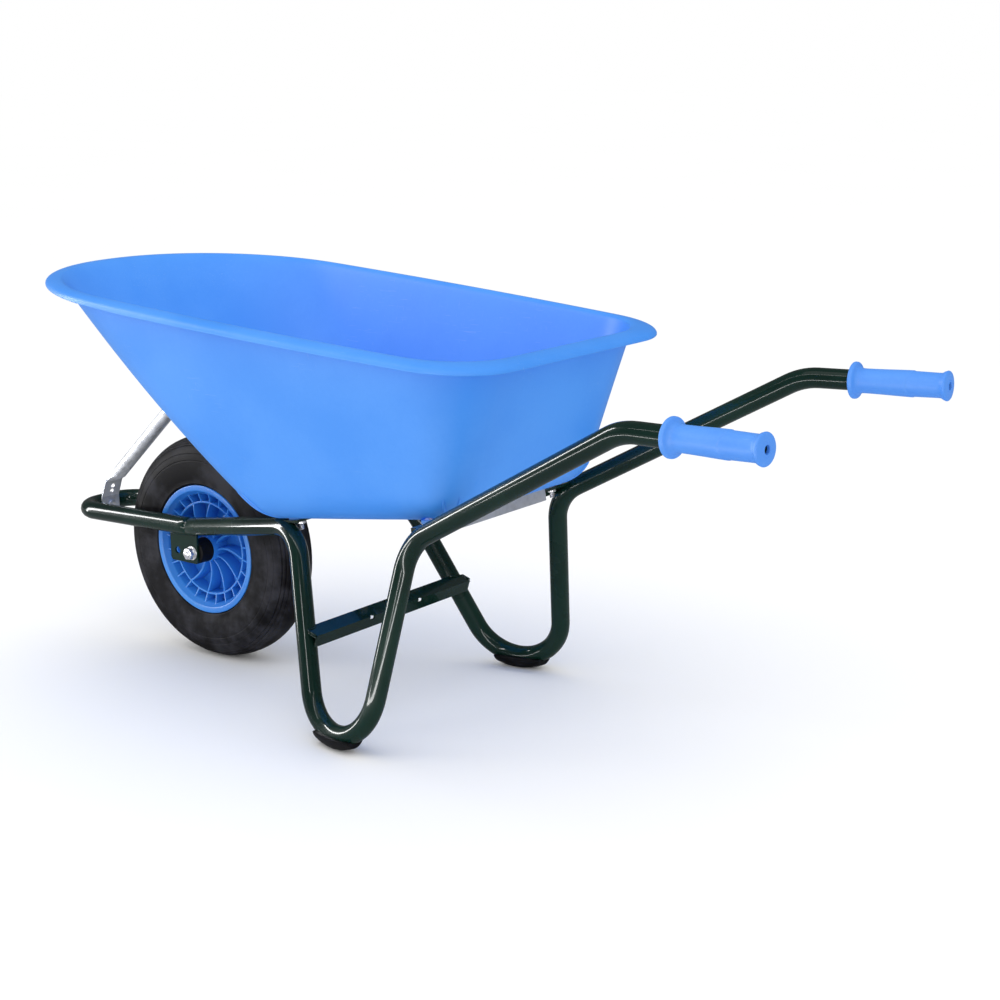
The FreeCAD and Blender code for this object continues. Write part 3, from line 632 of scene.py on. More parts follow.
def flange_ring(reach, drop):
    share = reach / flange_reach
    return outline(
        rim_front - reach,
        rim_rear + flange_rear_reach * share,
        275.0 + reach,
        260.0 + reach,
        266.0 + reach,
        mix(114.0, flange_rear_radius, share),
        lambda x: rim_height(x) - drop * flange_lowering(x),
    )


def shrunk(ring, share):
    middle = sum(ring, Vector()) / len(ring)
    return [middle + (point - middle) * share for point in ring]


# %% Wrap a grid round the outlines
def wrapped(name, rings):
    """A closed skin through matching rings of points, with its two ends filled."""
    columns, rows = len(rings[0]), len(rings)
    bpy.ops.object.select_all(action="DESELECT")
    bpy.ops.mesh.primitive_grid_add(x_subdivisions=columns, y_subdivisions=rows - 1, size=2.0)
    piece = bpy.context.object
    piece.name = name
    for vertex in piece.data.vertices:
        column = round((vertex.co.x + 1.0) / 2.0 * columns) % columns
        row = round((vertex.co.y + 1.0) / 2.0 * (rows - 1))
        vertex.co = rings[row][column]
    face_outwards(piece)
    bpy.ops.object.mode_set(mode="EDIT")
    bpy.ops.mesh.select_all(action="SELECT")
    bpy.ops.mesh.fill_holes(sides=0)
    bpy.ops.mesh.normals_make_consistent(inside=False)
    bpy.ops.object.mode_set(mode="OBJECT")
    return piece


low_levels = [0.0, 0.006, 0.014, 0.025, 0.04, 0.06, 0.085, 0.115, 0.15, 0.19]
wall_levels = low_levels + [0.26, 0.36, 0.48, 0.6, 0.72, 0.84, 0.93, 0.975]
flange_under = [(3.0, 5.0), (8.0, 4.6), (14.0, 6.2), (18.5, 9.0), (21.2, 12.5), (21.8, 15.0)]
flange_lip = [(22.3, 15.8), (23.6, 16.1), (24.7, 15.6), (25.0, 14.2)]
flange_over = [(24.9, 12.0), (24.0, 9.0), (21.8, 6.0), (18.0, 3.4), (13.0, 1.4), (8.0, 0.4), (4.0, 0.0)]
flange_edge = [(1.5, 0.1), (-0.8, 0.9), (-2.2, 2.4)]
rings = [shrunk(wall_ring(0.0), share) for share in (0.1, 0.5, 0.85)]
rings += [wall_ring(level) for level in wall_levels]
rings += [flange_ring(reach, drop) for reach, drop in flange_under + flange_lip + flange_over + flange_edge]
rings += [wall_ring(level, True) for level in reversed(wall_levels)]
rings += [shrunk(wall_ring(0.0, True), share) for share in (0.85, 0.5, 0.1)]
tray = wrapped("tray_moulding", rings)
print("tray:", len(rings), "rows of", len(rings[0]))

# %% [markdown]
# ### Bolt seats
# The tray is bolted through its floor and its front wall. Each bolt has a moulded round seat,
# flat for its wide washer. A boolean modifier adds the boss below and cuts the seat above, as
# the two halves of the mould would.

# %% Where the tray is bolted
floor_up = Vector((-floor_slope, 0.0, 1.0)).normalized()
rear_bolt_x, rear_bolt_y = 617.0, 150.0
front_bolt_x, front_bolt_y = 304.0, 112.0
washer_radius = 14.0
bolt_places = []
for bolt_x, bolt_y in ((rear_bolt_x, rear_bolt_y), (front_bolt_x, front_bolt_y)):
    bolt_places += [(bolt_x, bolt_y), (bolt_x, -bolt_y)]


def floor_point(x, y, lift=0.0):
    return at(x, y, floor_height(x)) + floor_up * lift * mm


def front_wall_point(level):
    x = mix(266.0, rim_front, level)
    return Vector((x, 0.0, mix(floor_height(x), rim_height(x), level)))


wall_low, wall_high = front_wall_point(0.7), front_wall_point(0.85)
wall_slope = (wall_high - wall_low).normalized()
wall_in = Vector((wall_slope.z, 0.0, -wall_slope.x))
strut_bolt = (Vector(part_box("strut_tray_washer")[0]) + Vector(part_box("strut_tray_washer")[1])) / 2.0
strut_bolt -= wall_in * (tray_wall + 0.8) * mm
print("the strut's bolt is at", [round(value, 3) for value in strut_bolt])


# %% Cut the seats
def cylinder_cutter(origin, along, radius, low, high):
    centre = origin + along * (low + high) / 2.0 * mm
    bpy.ops.object.select_all(action="DESELECT")
    bpy.ops.mesh.primitive_cylinder_add(vertices=48, radius=radius * mm, depth=(high - low) * mm)
    cutter = bpy.context.object
    settle(cutter, line_frame(centre, along, Vector((1.0, 0.2, 0.1))))
    return cutter


def combine(piece, cutter, kind):
    step = piece.modifiers.new("cut", "BOOLEAN")
    step.operation = kind
    step.solver = "EXACT"
    step.object = cutter
    apply_modifiers(piece)
    bpy.data.objects.remove(cutter)


rounding = tray.modifiers.new("rounding", "SUBSURF")
rounding.levels = rounding.render_levels = 1
apply_modifiers(tray)
for bolt_x, bolt_y in bolt_places:
    seat = floor_point(bolt_x, bolt_y)
    combine(tray, cylinder_cutter(seat, floor_up, 19.0, 0.0, tray_wall + 1.6), "UNION")
    combine(tray, cylinder_cutter(seat, floor_up, washer_radius + 1.5, tray_wall, 18.0), "DIFFERENCE")
combine(tray, cylinder_cutter(strut_bolt, wall_in, washer_radius + 1.5, tray_wall, 10.0), "DIFFERENCE")

# %% [markdown]
# ### Corner ribs
# Two short curved ribs stiffen each lower corner of the tray on the outside. They follow the
# moulding's own surface, so their lines are picked from the same outlines.


# %% Lines laid on the tray
def cord_line(name, points, radius, swell=None, sides=3):
    """A round line through points in metres, as a mesh. swell gives a radius for each point."""
    curve = bpy.data.curves.new(name, "CURVE")
    curve.dimensions = "3D"
    curve.bevel_depth = radius * mm
    curve.bevel_resolution = sides
    curve.use_fill_caps = True
    spline = curve.splines.new("POLY")
    spline.points.add(len(points) - 1)
    for index, point in enumerate(points):
        spline.points[index].co = (*point, 1.0)
        spline.points[index].radius = swell[index] if swell else 1.0
    piece = bpy.data.objects.new(name, curve)
    bpy.context.scene.collection.objects.link(piece)
    only(piece)
    bpy.ops.object.convert(target="MESH")
    return bpy.context.object


def tapered(count, peak=1.0):
    """Radii that fade out at both ends."""
    return [peak * max(0.08, math.sin(math.pi * index / (count - 1)) ** 0.6) for index in range(count)]


ring_size = len(rings[0])
rear_corner = run_steps + front_corner_steps + bow_steps + rear_corner_steps // 2
front_corner = run_steps + front_corner_steps - 5
rib_lines = []
for corner in (front_corner, rear_corner):
    for shift in (-2, 2):
        for side in (1, -1):
            column = (side * (corner + shift)) % ring_size
            levels = [0.008 + 0.15 * step / 14 for step in range(15)]
            points = [wall_ring(level)[column] for level in levels]
            rib_lines.append(cord_line("corner_rib", points, 2.2, tapered(len(points))))
ribs = joined(rib_lines, "tray_corner_ribs")
shade(ribs)
shade(tray, 42.0)
hand_over(tray, "tray_plastic", "frame", "tray")
hand_over(ribs, "tray_plastic", "frame")

# %% [markdown]
# ## The frame tubes
# Each side of the frame is one 32 mm tube, bent cold: from the nose it runs back past the
# wheel, down to the ground, up again and out to the handle. A curve with a round bevel is the
# natural way to draw it. Its straight runs and the arcs of the bender's dies are worked out
# from a few corner points. Where the rail turns slightly beside the wheel the tube is
# pinched, and that crease is pressed into the mesh afterwards.

# %% The tube's corners and the dies' radii
tube_radius = 16.0
kink = (0.0, 71.5, 248.2)
tube_corners = [
    (-304.5, 0.0, 236.5),
    (-304.5, 58.0, 236.5),
    kink,
    (316.0, 134.4, 308.0),
    (527.2, 310.0, -228.5),
    (601.7, 189.3, 334.1),
    (1024.2, 248.3, 564.3),
    (1256.9, 268.1, 570.1),
]
die_radii = [46.0, 45.0, 68.0, 85.2, 80.0, 110.0]


def bent_path(corners, radii, turn_step=4.0):
    """Straight runs joined by arcs that touch them, as points in metres."""
    path = [at(*corners[0])]
    for index, radius in enumerate(radii, 1):
        corner = at(*corners[index])
        back = (at(*corners[index - 1]) - corner).normalized()
        ahead = (at(*corners[index + 1]) - corner).normalized()
        half_angle = back.angle(ahead) / 2.0
        first = corner + back * radius * mm / math.tan(half_angle)
        centre = corner + (back + ahead).normalized() * radius * mm / math.sin(half_angle)
        spoke = first - centre
        normal = back.cross(ahead).normalized()
        total = math.pi - 2.0 * half_angle
        steps = max(4, round(math.degrees(total) / turn_step))
        for step in range(steps + 1):
            path.append(centre + Matrix.Rotation(-total * step / steps, 3, normal) @ spoke)
    path.append(at(*corners[-1]))
    return path


def refined(path, middle, reach, step):
    """More points on the stretch of a path near a place."""
    result = [path[0]]
    for before, after in zip(path, path[1:]):
        length = (after - before).length
        near = min((before - middle).length, (after - middle).length) < reach
        pieces = max(1, round(length / step)) if near and length > step else 1
        if length > 4 * reach:
            pieces = round(length / (12.0 * mm))
        for piece in range(1, pieces + 1):
            result.append(before.lerp(after, piece / pieces))
    return result


# %% Draw the tube and press its crease
handle_end, handle_bend = at(*tube_corners[7]), at(*tube_corners[6])
handle_line = (handle_end - handle_bend).normalized()
whole_path = bent_path(tube_corners, die_radii)
whole_path[-1] = handle_end - handle_line * 6.4 * mm
left_path = refined(whole_path, at(*kink), 26.0 * mm, 1.2 * mm)
left_tube = cord_line("left_bent_tube", left_path, tube_radius, sides=6)
crease_depth, crease_width = 2.6 * mm, 3.2 * mm
crease = at(*kink)
for vertex in left_tube.data.vertices:
    away = vertex.co.x - crease.x
    if abs(away) < 4.0 * crease_width:
        outward = Vector((0.0, vertex.co.y - crease.y, vertex.co.z - crease.z))
        facing = outward.normalized().dot(Vector((0.0, 0.8, 0.6)))
        depth = crease_depth * math.exp(-((away / crease_width) ** 2)) * max(0.0, facing) ** 0.7
        bulge = 0.5 * mm * math.exp(-(((abs(away) - 2.2 * crease_width) / crease_width) ** 2))
        vertex.co -= outward.normalized() * (depth - bulge * max(0.0, facing))
face_outwards(left_tube)
right_tube = mirrored(left_tube, "right_bent_tube")
for tube, side in ((left_tube, "left"), (right_tube, "right")):
    shade(tube, 50.0)
    hand_over(tube, "green_coat", "frame", f"{side}_frame_tube")
print("one tube is", round(sum((b - a).length for a, b in zip(left_path, left_path[1:])), 3), "m long")

# %% [markdown]
# ## Welds
# The brackets and the brace are welded to the tubes before painting, so each joint has a
# bead: a row of overlapping ripples under the paint. A round line whose thickness swells and
# shrinks along its length makes one.


# %% Beads along a joint
def weld_bead(points):
    """A bead that ripples along its length and closes at its ends."""
    count, bead_radius, ripple_turn = len(points), 1.9, 2.1
    swell = []
    for index in range(count):
        closing = min(1.0, 0.5 + index, count - index - 0.5)
        swell.append((0.82 + 0.18 * math.cos(index * ripple_turn)) * closing)
    return cord_line("bead", points, bead_radius, swell)


def rail_centre(x):
    """The tube's centre beside the wheel, in millimetres."""
    before, after = (tube_corners[1], kink) if x < 0.0 else (kink, tube_corners[3])
    share = (x - before[0]) / (after[0] - before[0])
    return mix(before[1], after[1], share), mix(before[2], after[2], share)


def bracket_bead(face_y):
    points = []
    for step in range(45):
        x = mix(-51.0, 11.0, step / 44)
        centre_y, centre_z = rail_centre(x)
        below = math.sqrt(tube_radius ** 2 - (face_y - centre_y) ** 2)
        points.append(at(x, face_y, centre_z - below - 0.4))
    return weld_bead(points)


def leg_distance(point):
    """How far a point is from the front leg's centre line, in metres."""
    foot, top = at(*tube_corners[4]), at(*tube_corners[3])
    along = (top - foot).normalized()
    away = point - foot
    return (away - along * away.dot(along)).length


def brace_bead(lift):
    """Where the brace's top plate meets the front leg. The search halves a gap across the leg."""
    tilt, fold_x, fold_z = math.radians(18.0), 410.0, 154.5
    points = []
    for step in range(24):
        back = mix(2.0, 27.0, step / 23)
        x, z = fold_x - back * math.cos(tilt), fold_z + back * math.sin(tilt) + lift
        near, far = 150.0, 196.0
        while far - near > 0.00001:
            middle = (near + far) / 2.0
            if leg_distance(at(x, middle, z)) > tube_radius * mm:
                near = middle
            else:
                far = middle
        points.append(at(x, near, z))
    return weld_bead(points)


bracket_outside, bracket_inside, brace_above, brace_below = 70.4, 65.6, 0.6, -3.4
left_beads = joined(
    [
        bracket_bead(bracket_outside),
        bracket_bead(bracket_inside),
        brace_bead(brace_above),
        brace_bead(brace_below),
    ],
    "left_weld_beads",
)
face_outwards(left_beads)
right_beads = mirrored(left_beads, "right_weld_beads")
for beads in (left_beads, right_beads):
    shade(beads, 60.0)
    hand_over(beads, "green_coat", "frame")

# %% [markdown]
# ## The grips
# A moulded grip is pushed over each handle: a wide flange that keeps the thumb off the tray,
# a barrel that swells towards a moulded step, and a rolled end with a small vent hole. It is
# round but for the step, so it is turned and then the step's edge is bent into a wave.

# %% Turn a grip
grip_length, grip_bore = 152.0, tube_radius + 0.1
grip_profile = [(grip_bore, 0.6), (grip_bore + 0.8, 0.0), (25.5, 0.0)]
grip_profile += arc((25.5, 2.6), 2.6, -90.0, 0.0, 5)[1:] + arc((24.4, 4.6), 3.6, 0.0, 75.0, 4)
grip_profile += [(22.0, 9.4), (20.2, 11.6), (19.1, 14.6), (18.7, 18.5), (18.8, 34.0), (19.3, 58.0)]
grip_profile += [(19.8, 76.0), (20.05, 86.0), (20.1, 90.0), (19.9, 91.6), (19.3, 92.6), (19.15, 94.0)]
grip_profile += [(19.0, 110.0), (18.75, 128.0), (18.7, 137.0), (19.0, 139.4), (20.0, 141.6)]
grip_profile += [(21.3, 143.4)] + arc((20.0, 147.4), 2.6, -30.0, 80.0, 5)
grip_profile += [(18.0, 150.6), (12.0, 151.0), (9.6, 151.1), (9.0, 151.7), (8.0, 152.0), (6.9, 151.7)]
grip_profile += [(6.2, 151.0), (6.0, 150.0), (6.0, 146.2), (grip_bore, 146.0)]
grip_start = handle_end - handle_line * grip_length * mm
grip_place = line_frame(grip_start, handle_line)
left_grip = turned("left_handle_grip", grip_profile, Matrix.Identity(4), steps=56)
step_low, step_high, wave = 84.0 * mm, 97.0 * mm, 4.5 * mm
for vertex in left_grip.data.vertices:
    if step_low < vertex.co.z < step_high and vertex.co.xy.length > (grip_bore + 1.0) * mm:
        vertex.co.z += wave * math.cos(2.0 * math.atan2(vertex.co.y, vertex.co.x))
settle(left_grip, grip_place)
right_grip = mirrored(left_grip, "right_handle_grip")
for grip, side in ((left_grip, "left"), (right_grip, "right")):
    shade(grip, 40.0)
    hand_over(grip, "grip_plastic", "frame", f"{side}_grip")

# %% [markdown]
# ## The tyre
# A barrow tyre has a round, smooth tread with a few thin lines at the shoulder, bulging sides
# and a bead that sits behind the rim's lip. Its section is half of a slightly squared oval,
# with shallow grooves pressed in where the mould's ring joints are.

# %% The tyre's section
wheel_radius, tyre_half = 200.0, 47.0
oval_centre, squareness = 153.0, 2.3
grooves = [(185.5, 1.2), (190.5, 1.4), (195.0, 1.2), (172.0, 0.5), (160.0, 0.5)]


def groove_depth(radius):
    return sum(depth * math.exp(-(((radius - place) / 0.7) ** 2)) for place, depth in grooves)


outer_half = []
for step in range(181):
    turn = math.radians(step / 2.0)
    height = (wheel_radius - oval_centre) * math.sin(turn) ** (2.0 / squareness)
    width = tyre_half * math.cos(turn) ** (2.0 / squareness)
    radius = oval_centre + height
    shallow = 1.0 - groove_depth(radius) / 40.0
    outer_half.append((oval_centre + height * shallow, width * shallow))
bead_side = [(104.2, 36.2), (108.5, 37.4), (112.7, 38.0), (115.8, 38.4), (116.6, 39.4), (117.2, 42.2)]
bead_side += [(118.4, 43.2), (119.6, 43.2), (120.4, 43.0), (128.0, 44.9), (136.0, 46.0), (145.0, 46.8)]
outside = bead_side + outer_half
inside_half = [(103.4, 31.5), (114.0, 34.5), (128.0, 40.5), (142.0, 42.6), (156.0, 42.8), (167.0, 40.5)]
inside_half += [(177.0, 35.5), (184.5, 28.5), (190.0, 19.0), (193.3, 9.0), (194.3, 0.0)]
full = outside + [(radius, -along) for radius, along in reversed(outside[:-1])]
full += [(radius, -along) for radius, along in inside_half[:-1]]
full += list(reversed(inside_half))
wheel_place = line_frame(axle, (0.0, 1.0, 0.0), Vector((1.0, 0.0, 0.0)))
tyre = turned("smooth_tyre", full, wheel_place, steps=96)
shade(tyre, 50.0)
hand_over(tyre, "tyre_rubber", "wheel", "tyre")

# %% [markdown]
# ## The plastic rim
# The rim is one moulding: a barrel with a lip at each side, a ring of small cells inside it,
# a thin web, and curved ribs like a turbine's between the hub and the ring. The round parts
# are turned. One rib and one cell wall are modelled and then copied round the axle.

# %% Turn the barrel, web, ring and hub
lip = arc((113.6, 40.6), 1.6, 0.0, 90.0, 5) + [(107.0, 42.2), (105.4, 41.9), (104.7, 41.2), (104.2, 40.0)]
barrel_half = [(97.4, 8.0), (99.8, 12.0), (100.2, 21.0), (101.4, 33.0), (103.4, 36.6), (112.0, 37.6)]
barrel_half += [(114.6, 38.2), (115.2, 39.2)] + lip
barrel_half += [(99.6, 34.0), (98.0, 31.0), (97.4, 12.0), (95.4, 8.0), (94.6, 3.0)]
outer_run = barrel_half[:barrel_half.index((99.6, 34.0))]
inner_run = barrel_half[barrel_half.index((99.6, 34.0)):]
barrel = [(radius, -along) for radius, along in reversed(outer_run)] + outer_run
barrel += inner_run + [(radius, -along) for radius, along in reversed(inner_run)]
rim_parts = [turned("barrel", barrel, Matrix.Identity(4), steps=96)]
cell_ring, hub_radius, hub_half, rib_half, web_half = 83.0, 22.5, 38.0, 30.0, 2.5
ring_section = [(cell_ring + 1.6, rib_half), (cell_ring + 1.6, -rib_half)]
ring_section += [(cell_ring - 1.6, -rib_half), (cell_ring - 1.6, rib_half)]
web_section = [(95.2, web_half), (95.2, -web_half), (hub_radius - 1.0, -5.5), (hub_radius - 1.0, 5.5)]
hub_root, hub_root_half, hub_bore = hub_radius + 1.6, web_half + 4.0, 15.0
hub_section = [(hub_radius, hub_half), (hub_root, hub_root_half), (hub_root, -hub_root_half)]
hub_section += [(hub_radius, -hub_half), (hub_bore, -hub_half), (hub_bore, hub_half)]
for label, section in (("cell_ring", ring_section), ("web", web_section), ("hub", hub_section)):
    rim_parts.append(turned(label, section, Matrix.Identity(4), steps=72))


# %% One curved rib, one cell wall, and their copies
def rib(name, line, lows, highs, thick_low, thick_high):
    """A thin wall standing on a line of (x, y) points, from its lows to its highs."""
    rows = []
    for index, point in enumerate(line):
        ahead = line[min(index + 1, len(line) - 1)] - line[max(index - 1, 0)]
        side = Vector((-ahead.y, ahead.x)).normalized()
        section = []
        for sign, height, thick in (
            (1.0, lows[index], thick_low),
            (1.0, highs[index], thick_high),
            (-1.0, highs[index], thick_high),
            (-1.0, lows[index], thick_low),
        ):
            edge = point + side * sign * thick / 2.0
            section.append(Vector((edge.x, edge.y, height)) * mm)
        rows.append(section)
    piece = wrapped(name, rows)
    soften(piece, 0.6 * mm)
    return piece


def polar(radius, degrees):
    return Vector((math.cos(math.radians(degrees)), math.sin(math.radians(degrees)))) * radius


# The line is a parabola through the rib's outer end, its middle and its root.
rib_end, rib_middle, rib_root = polar(cell_ring, 0.0), polar(48.0, -10.5), polar(hub_radius - 1.0, -5.0)
bow = rib_middle - (rib_end + rib_root) / 2.0
line = []
for step in range(13):
    share = step / 12
    line.append(rib_end.lerp(rib_root, share) + bow * share * (1.0 - share) * 4.0)
rib_count, cell_count, first_turn = 12, 24, 6.0
web_inside = 1.0
one_rib = rib("spoke_rib", line, [web_inside] * len(line), [rib_half] * len(line), 4.6, 3.0)
cell_line = [polar(radius, 0.0) for radius in (82.5, 87.0, 92.0, 97.6, 100.6)]
cell_lows = [1.0, 1.5, 3.0, 13.0, 27.0]
cell_highs = [30.0, 31.0, 32.4, 34.0, 35.4]
one_wall = rib("cell_wall", cell_line, cell_lows, cell_highs, 3.6, 2.8)
for original, count in ((one_rib, rib_count), (one_wall, cell_count)):
    for index in range(count):
        part = copied(original, original.name + "_copy")
        settle(part, Matrix.Rotation(math.radians(first_turn + 360.0 * index / count), 4, "Z"))
        other = copied(part, original.name + "_other_side")
        settle(other, Matrix.Diagonal((1.0, 1.0, -1.0, 1.0)))
        face_outwards(other)
        rim_parts += [part, other]
    bpy.data.objects.remove(original)
rim = joined(rim_parts, "spoked_rim")
soften(rim, 0.45 * mm, 2, 40.0)
settle(rim, wheel_place)
shade(rim, 35.0)
hand_over(rim, "rim_plastic", "wheel", "wheel_rim")

# %% [markdown]
# ## Hub bushes, valve and inner tube
# A black bush sits in each side of the hub and reaches out to the bracket, so that the wheel
# can't wander. The valve comes out through the rim with its ribbed cap, and the inner tube
# fills the tyre.

# %% Turn the bushes
bush_profile = [(6.06, 6.0), (15.0, 6.0), (15.0, 38.2), (21.2, 38.2), (22.0, 39.0), (22.0, 41.5)]
bush_profile += [(21.4, 42.3), (21.4, 62.4)] + arc((20.0, 64.0), 1.4, 0.0, 90.0, 4) + [(16.2, 65.4)]
bush_profile += [(15.6, 64.6), (10.4, 64.6), (9.8, 65.4), (6.6, 65.4), (6.06, 64.9)]
left_bush = turned("left_bush", bush_profile, wheel_place, steps=56)
right_bush = mirrored(left_bush, "right_bush")
for bush, side in ((left_bush, "left"), (right_bush, "right")):
    shade(bush, 40.0)
    hand_over(bush, "black_plastic", "wheel", f"{side}_hub_bush")

# %% Turn the valve and its cap
stem_low, stem_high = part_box("valve_stem")
stem_centre = (stem_low + stem_high) / 2.0
inwards = Vector((axle.x - stem_centre.x, 0.0, axle.z - stem_centre.z)).normalized()
valve_root = stem_centre - inwards * 8.5 * mm
valve_place = line_frame(valve_root, inwards, Vector((0.0, 1.0, 0.0)))
stem_profile = [(0.0, 0.0), (5.0, 0.0), (5.2, 0.8), (4.2, 2.0), (4.0, 5.0), (4.0, 16.4)]
stem_profile += [(3.6, 17.0), (0.0, 17.0)]
stem = turned("valve_body", stem_profile, valve_place, steps=28, closed=False)
shade(stem)
hand_over(stem, "valve_rubber", "wheel", "valve_stem")
cap_profile = [(4.05, 12.0), (4.6, 12.0), (4.8, 12.6), (4.7, 13.4), (4.7, 18.2), (4.2, 19.4)]
cap_profile += [(2.6, 20.0), (0.0, 20.0), (0.0, 17.1), (4.05, 17.1)]
cap = turned("ribbed_valve_cap", cap_profile, Matrix.Identity(4), steps=48, closed=False)
for vertex in cap.data.vertices:
    if vertex.co.xy.length > 4.4 * mm and 12.8 * mm < vertex.co.z < 19.0 * mm:
        flute = 1.0 - 0.045 * (1.0 + math.cos(16.0 * math.atan2(vertex.co.y, vertex.co.x))) / 2.0
        vertex.co.xy = vertex.co.xy * flute
settle(cap, valve_place)
shade(cap)
hand_over(cap, "black_plastic", "wheel", "valve_cap")
air_middle, air_height, air_half = 150.0, 38.0, 30.0
tube_section = []
for degrees in range(0, 360, 12):
    around = math.radians(degrees)
    tube_section.append((air_middle + air_height * math.sin(around), air_half * math.cos(around)))
air_tube = turned("air_tube", tube_section, wheel_place, steps=64)
shade(air_tube)
hand_over(air_tube, "valve_rubber", "wheel", "inner_tube")

# %% [markdown]
# ## Bolts, nuts and washers
# The barrow is held by M8 bolts through the tray and one M12 bolt as the axle. A hexagon
# starts as a six-sided cylinder whose end face is inset and raised, which leaves the chamfer
# of a forged head. Threads are turned as a row of fine ridges on the part that shows.

# %% A hexagon, a threaded shank and a washer
bolt_8 = {"across": 13.0, "head": 5.3, "nut": 6.5, "radius": 4.0, "pitch": 1.25}
bolt_12 = {"across": 19.0, "head": 7.5, "nut": 10.0, "radius": 6.0, "pitch": 1.75}


def hexagon(across, height, place):
    bpy.ops.object.select_all(action="DESELECT")
    """A bolt's head or a nut, standing on its place along +Z."""
    corner_radius = across / math.sqrt(3.0) * mm
    middle = (0.0, 0.0, height / 2.0 * mm)
    bpy.ops.mesh.primitive_cylinder_add(
        vertices=6, radius=corner_radius, depth=height * mm, location=middle
    )
    piece = bpy.context.object
    settle(piece)
    bpy.ops.object.mode_set(mode="EDIT")
    chamfer = across * 0.07 * mm
    for end in (1.0, -1.0):
        shape = bmesh.from_edit_mesh(piece.data)
        for face in shape.faces:
            face.select_set(face.normal.z * end > 0.9)
        bmesh.update_edit_mesh(piece.data)
        bpy.ops.mesh.inset(thickness=chamfer)
        bpy.ops.transform.translate(value=(0.0, 0.0, end * chamfer * 0.45))
    bpy.ops.object.mode_set(mode="OBJECT")
    squash = height * mm / (height * mm + 2.0 * chamfer * 0.45)
    for vertex in piece.data.vertices:
        vertex.co.z = (vertex.co.z - height / 2.0 * mm) * squash + height / 2.0 * mm
    soften(piece, 0.35 * mm)
    settle(piece, place)
    return piece


def threaded(size, length, thread_from, place):
    """A shank along -Z, smooth at first and threaded from a given depth to its end."""
    radius, pitch = size["radius"], size["pitch"]
    profile = [(0.0, 0.0), (radius, 0.0), (radius, -thread_from)]
    depth = thread_from
    while depth < length - 1.5 * pitch:
        profile += [(radius - 0.55 * pitch, -depth - pitch * 0.45), (radius, -depth - pitch * 0.9)]
        depth += pitch
    profile += [(radius - 0.6 * pitch, -length + 0.3), (radius - 0.9 * pitch, -length), (0.0, -length)]
    return turned("shank", profile, place, steps=28, closed=False)


def ring_washer(inner, outer, thick, place):
    edge = 0.25
    section = [(inner, edge), (inner + edge, 0.0), (outer - edge, 0.0), (outer, edge)]
    section += [(outer, thick - edge), (outer - edge, thick), (inner + edge, thick), (inner, thick - edge)]
    return turned("washer", section, place, steps=48)


# %% The four tray bolts
def turned_about(origin, along, degrees):
    """A placement along a line, turned about it, because no two bolts stop at one angle."""
    place = line_frame(origin, along, Vector((1.0, 0.1, 0.2)))
    return place @ Matrix.Rotation(math.radians(degrees), 4, "Z")


washer_thick, strap_thick, lug_thick, thread_past = 1.6, 2.0, 4.0, 16.0
tray_bolts, tray_washers, tray_nuts = [], [], []
for index, (bolt_x, bolt_y) in enumerate(bolt_places):
    held = lug_thick + (strap_thick if bolt_x == rear_bolt_x else 0.0)
    washer_at = line_frame(floor_point(bolt_x, bolt_y, tray_wall), floor_up, Vector((1.0, 0.0, 0.0)))
    tray_washers.append(ring_washer(4.5, washer_radius, washer_thick, washer_at))
    head_face = floor_point(bolt_x, bolt_y, tray_wall + washer_thick)
    head_at = turned_about(head_face, floor_up, 17.0 + 41.0 * index)
    tray_bolts.append(hexagon(bolt_8["across"], bolt_8["head"], head_at))
    length = tray_wall + washer_thick + held + thread_past
    tray_bolts.append(threaded(bolt_8, length, tray_wall + washer_thick, head_at))
    nut_at = turned_about(floor_point(bolt_x, bolt_y, -held), -floor_up, 8.0 + 35.0 * index)
    tray_nuts.append(hexagon(bolt_8["across"], bolt_8["nut"], nut_at))
for parts, name, node_name in (
    (tray_bolts, "four_tray_bolts", "tray_bolts"),
    (tray_washers, "four_wide_washers", "tray_washers"),
    (tray_nuts, "four_tray_nuts", "tray_nuts"),
):
    group = joined(parts, name)
    shade(group, 30.0)
    hand_over(group, "zinc_bolt", "frame", node_name)

# %% The strut's two bolts
strut_flat = 3.0
washer_at = line_frame(strut_bolt + wall_in * tray_wall * mm, wall_in, Vector((0.0, 1.0, 0.0)))
strut_washer = ring_washer(4.5, washer_radius, washer_thick, washer_at)
head_at = turned_about(strut_bolt + wall_in * (tray_wall + washer_thick) * mm, wall_in, 12.0)
upper_bolt = joined(
    [
        hexagon(bolt_8["across"], bolt_8["head"], head_at),
        threaded(bolt_8, tray_wall + washer_thick + strut_flat + 12.0, tray_wall + washer_thick, head_at),
    ],
    "strut_upper_bolt",
)
nut_at = turned_about(strut_bolt - wall_in * strut_flat * mm, -wall_in, 25.0)
upper_nut = hexagon(bolt_8["across"], bolt_8["nut"], nut_at)
upper_nut.name = "strut_upper_nut"
foot_low, foot_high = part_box("strut_foot_bolt")
foot_head = Vector((foot_high.x - bolt_8["head"] * mm, 0.0, (foot_low.z + foot_high.z) / 2.0))
head_at = turned_about(foot_head, Vector((1.0, 0.0, 0.0)), 20.0)
foot_length = (foot_head.x - foot_low.x) / mm
foot_bolt = joined(
    [
        hexagon(bolt_8["across"], bolt_8["head"], head_at),
        threaded(bolt_8, foot_length, foot_length - 12.0, head_at),
    ],
    "strut_lower_bolt",
)
nut_face = Vector((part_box("strut_foot_nut")[1].x, 0.0, foot_head.z))
foot_nut = hexagon(bolt_8["across"], bolt_8["nut"], turned_about(nut_face, Vector((-1.0, 0.0, 0.0)), 5.0))
foot_nut.name = "strut_lower_nut"
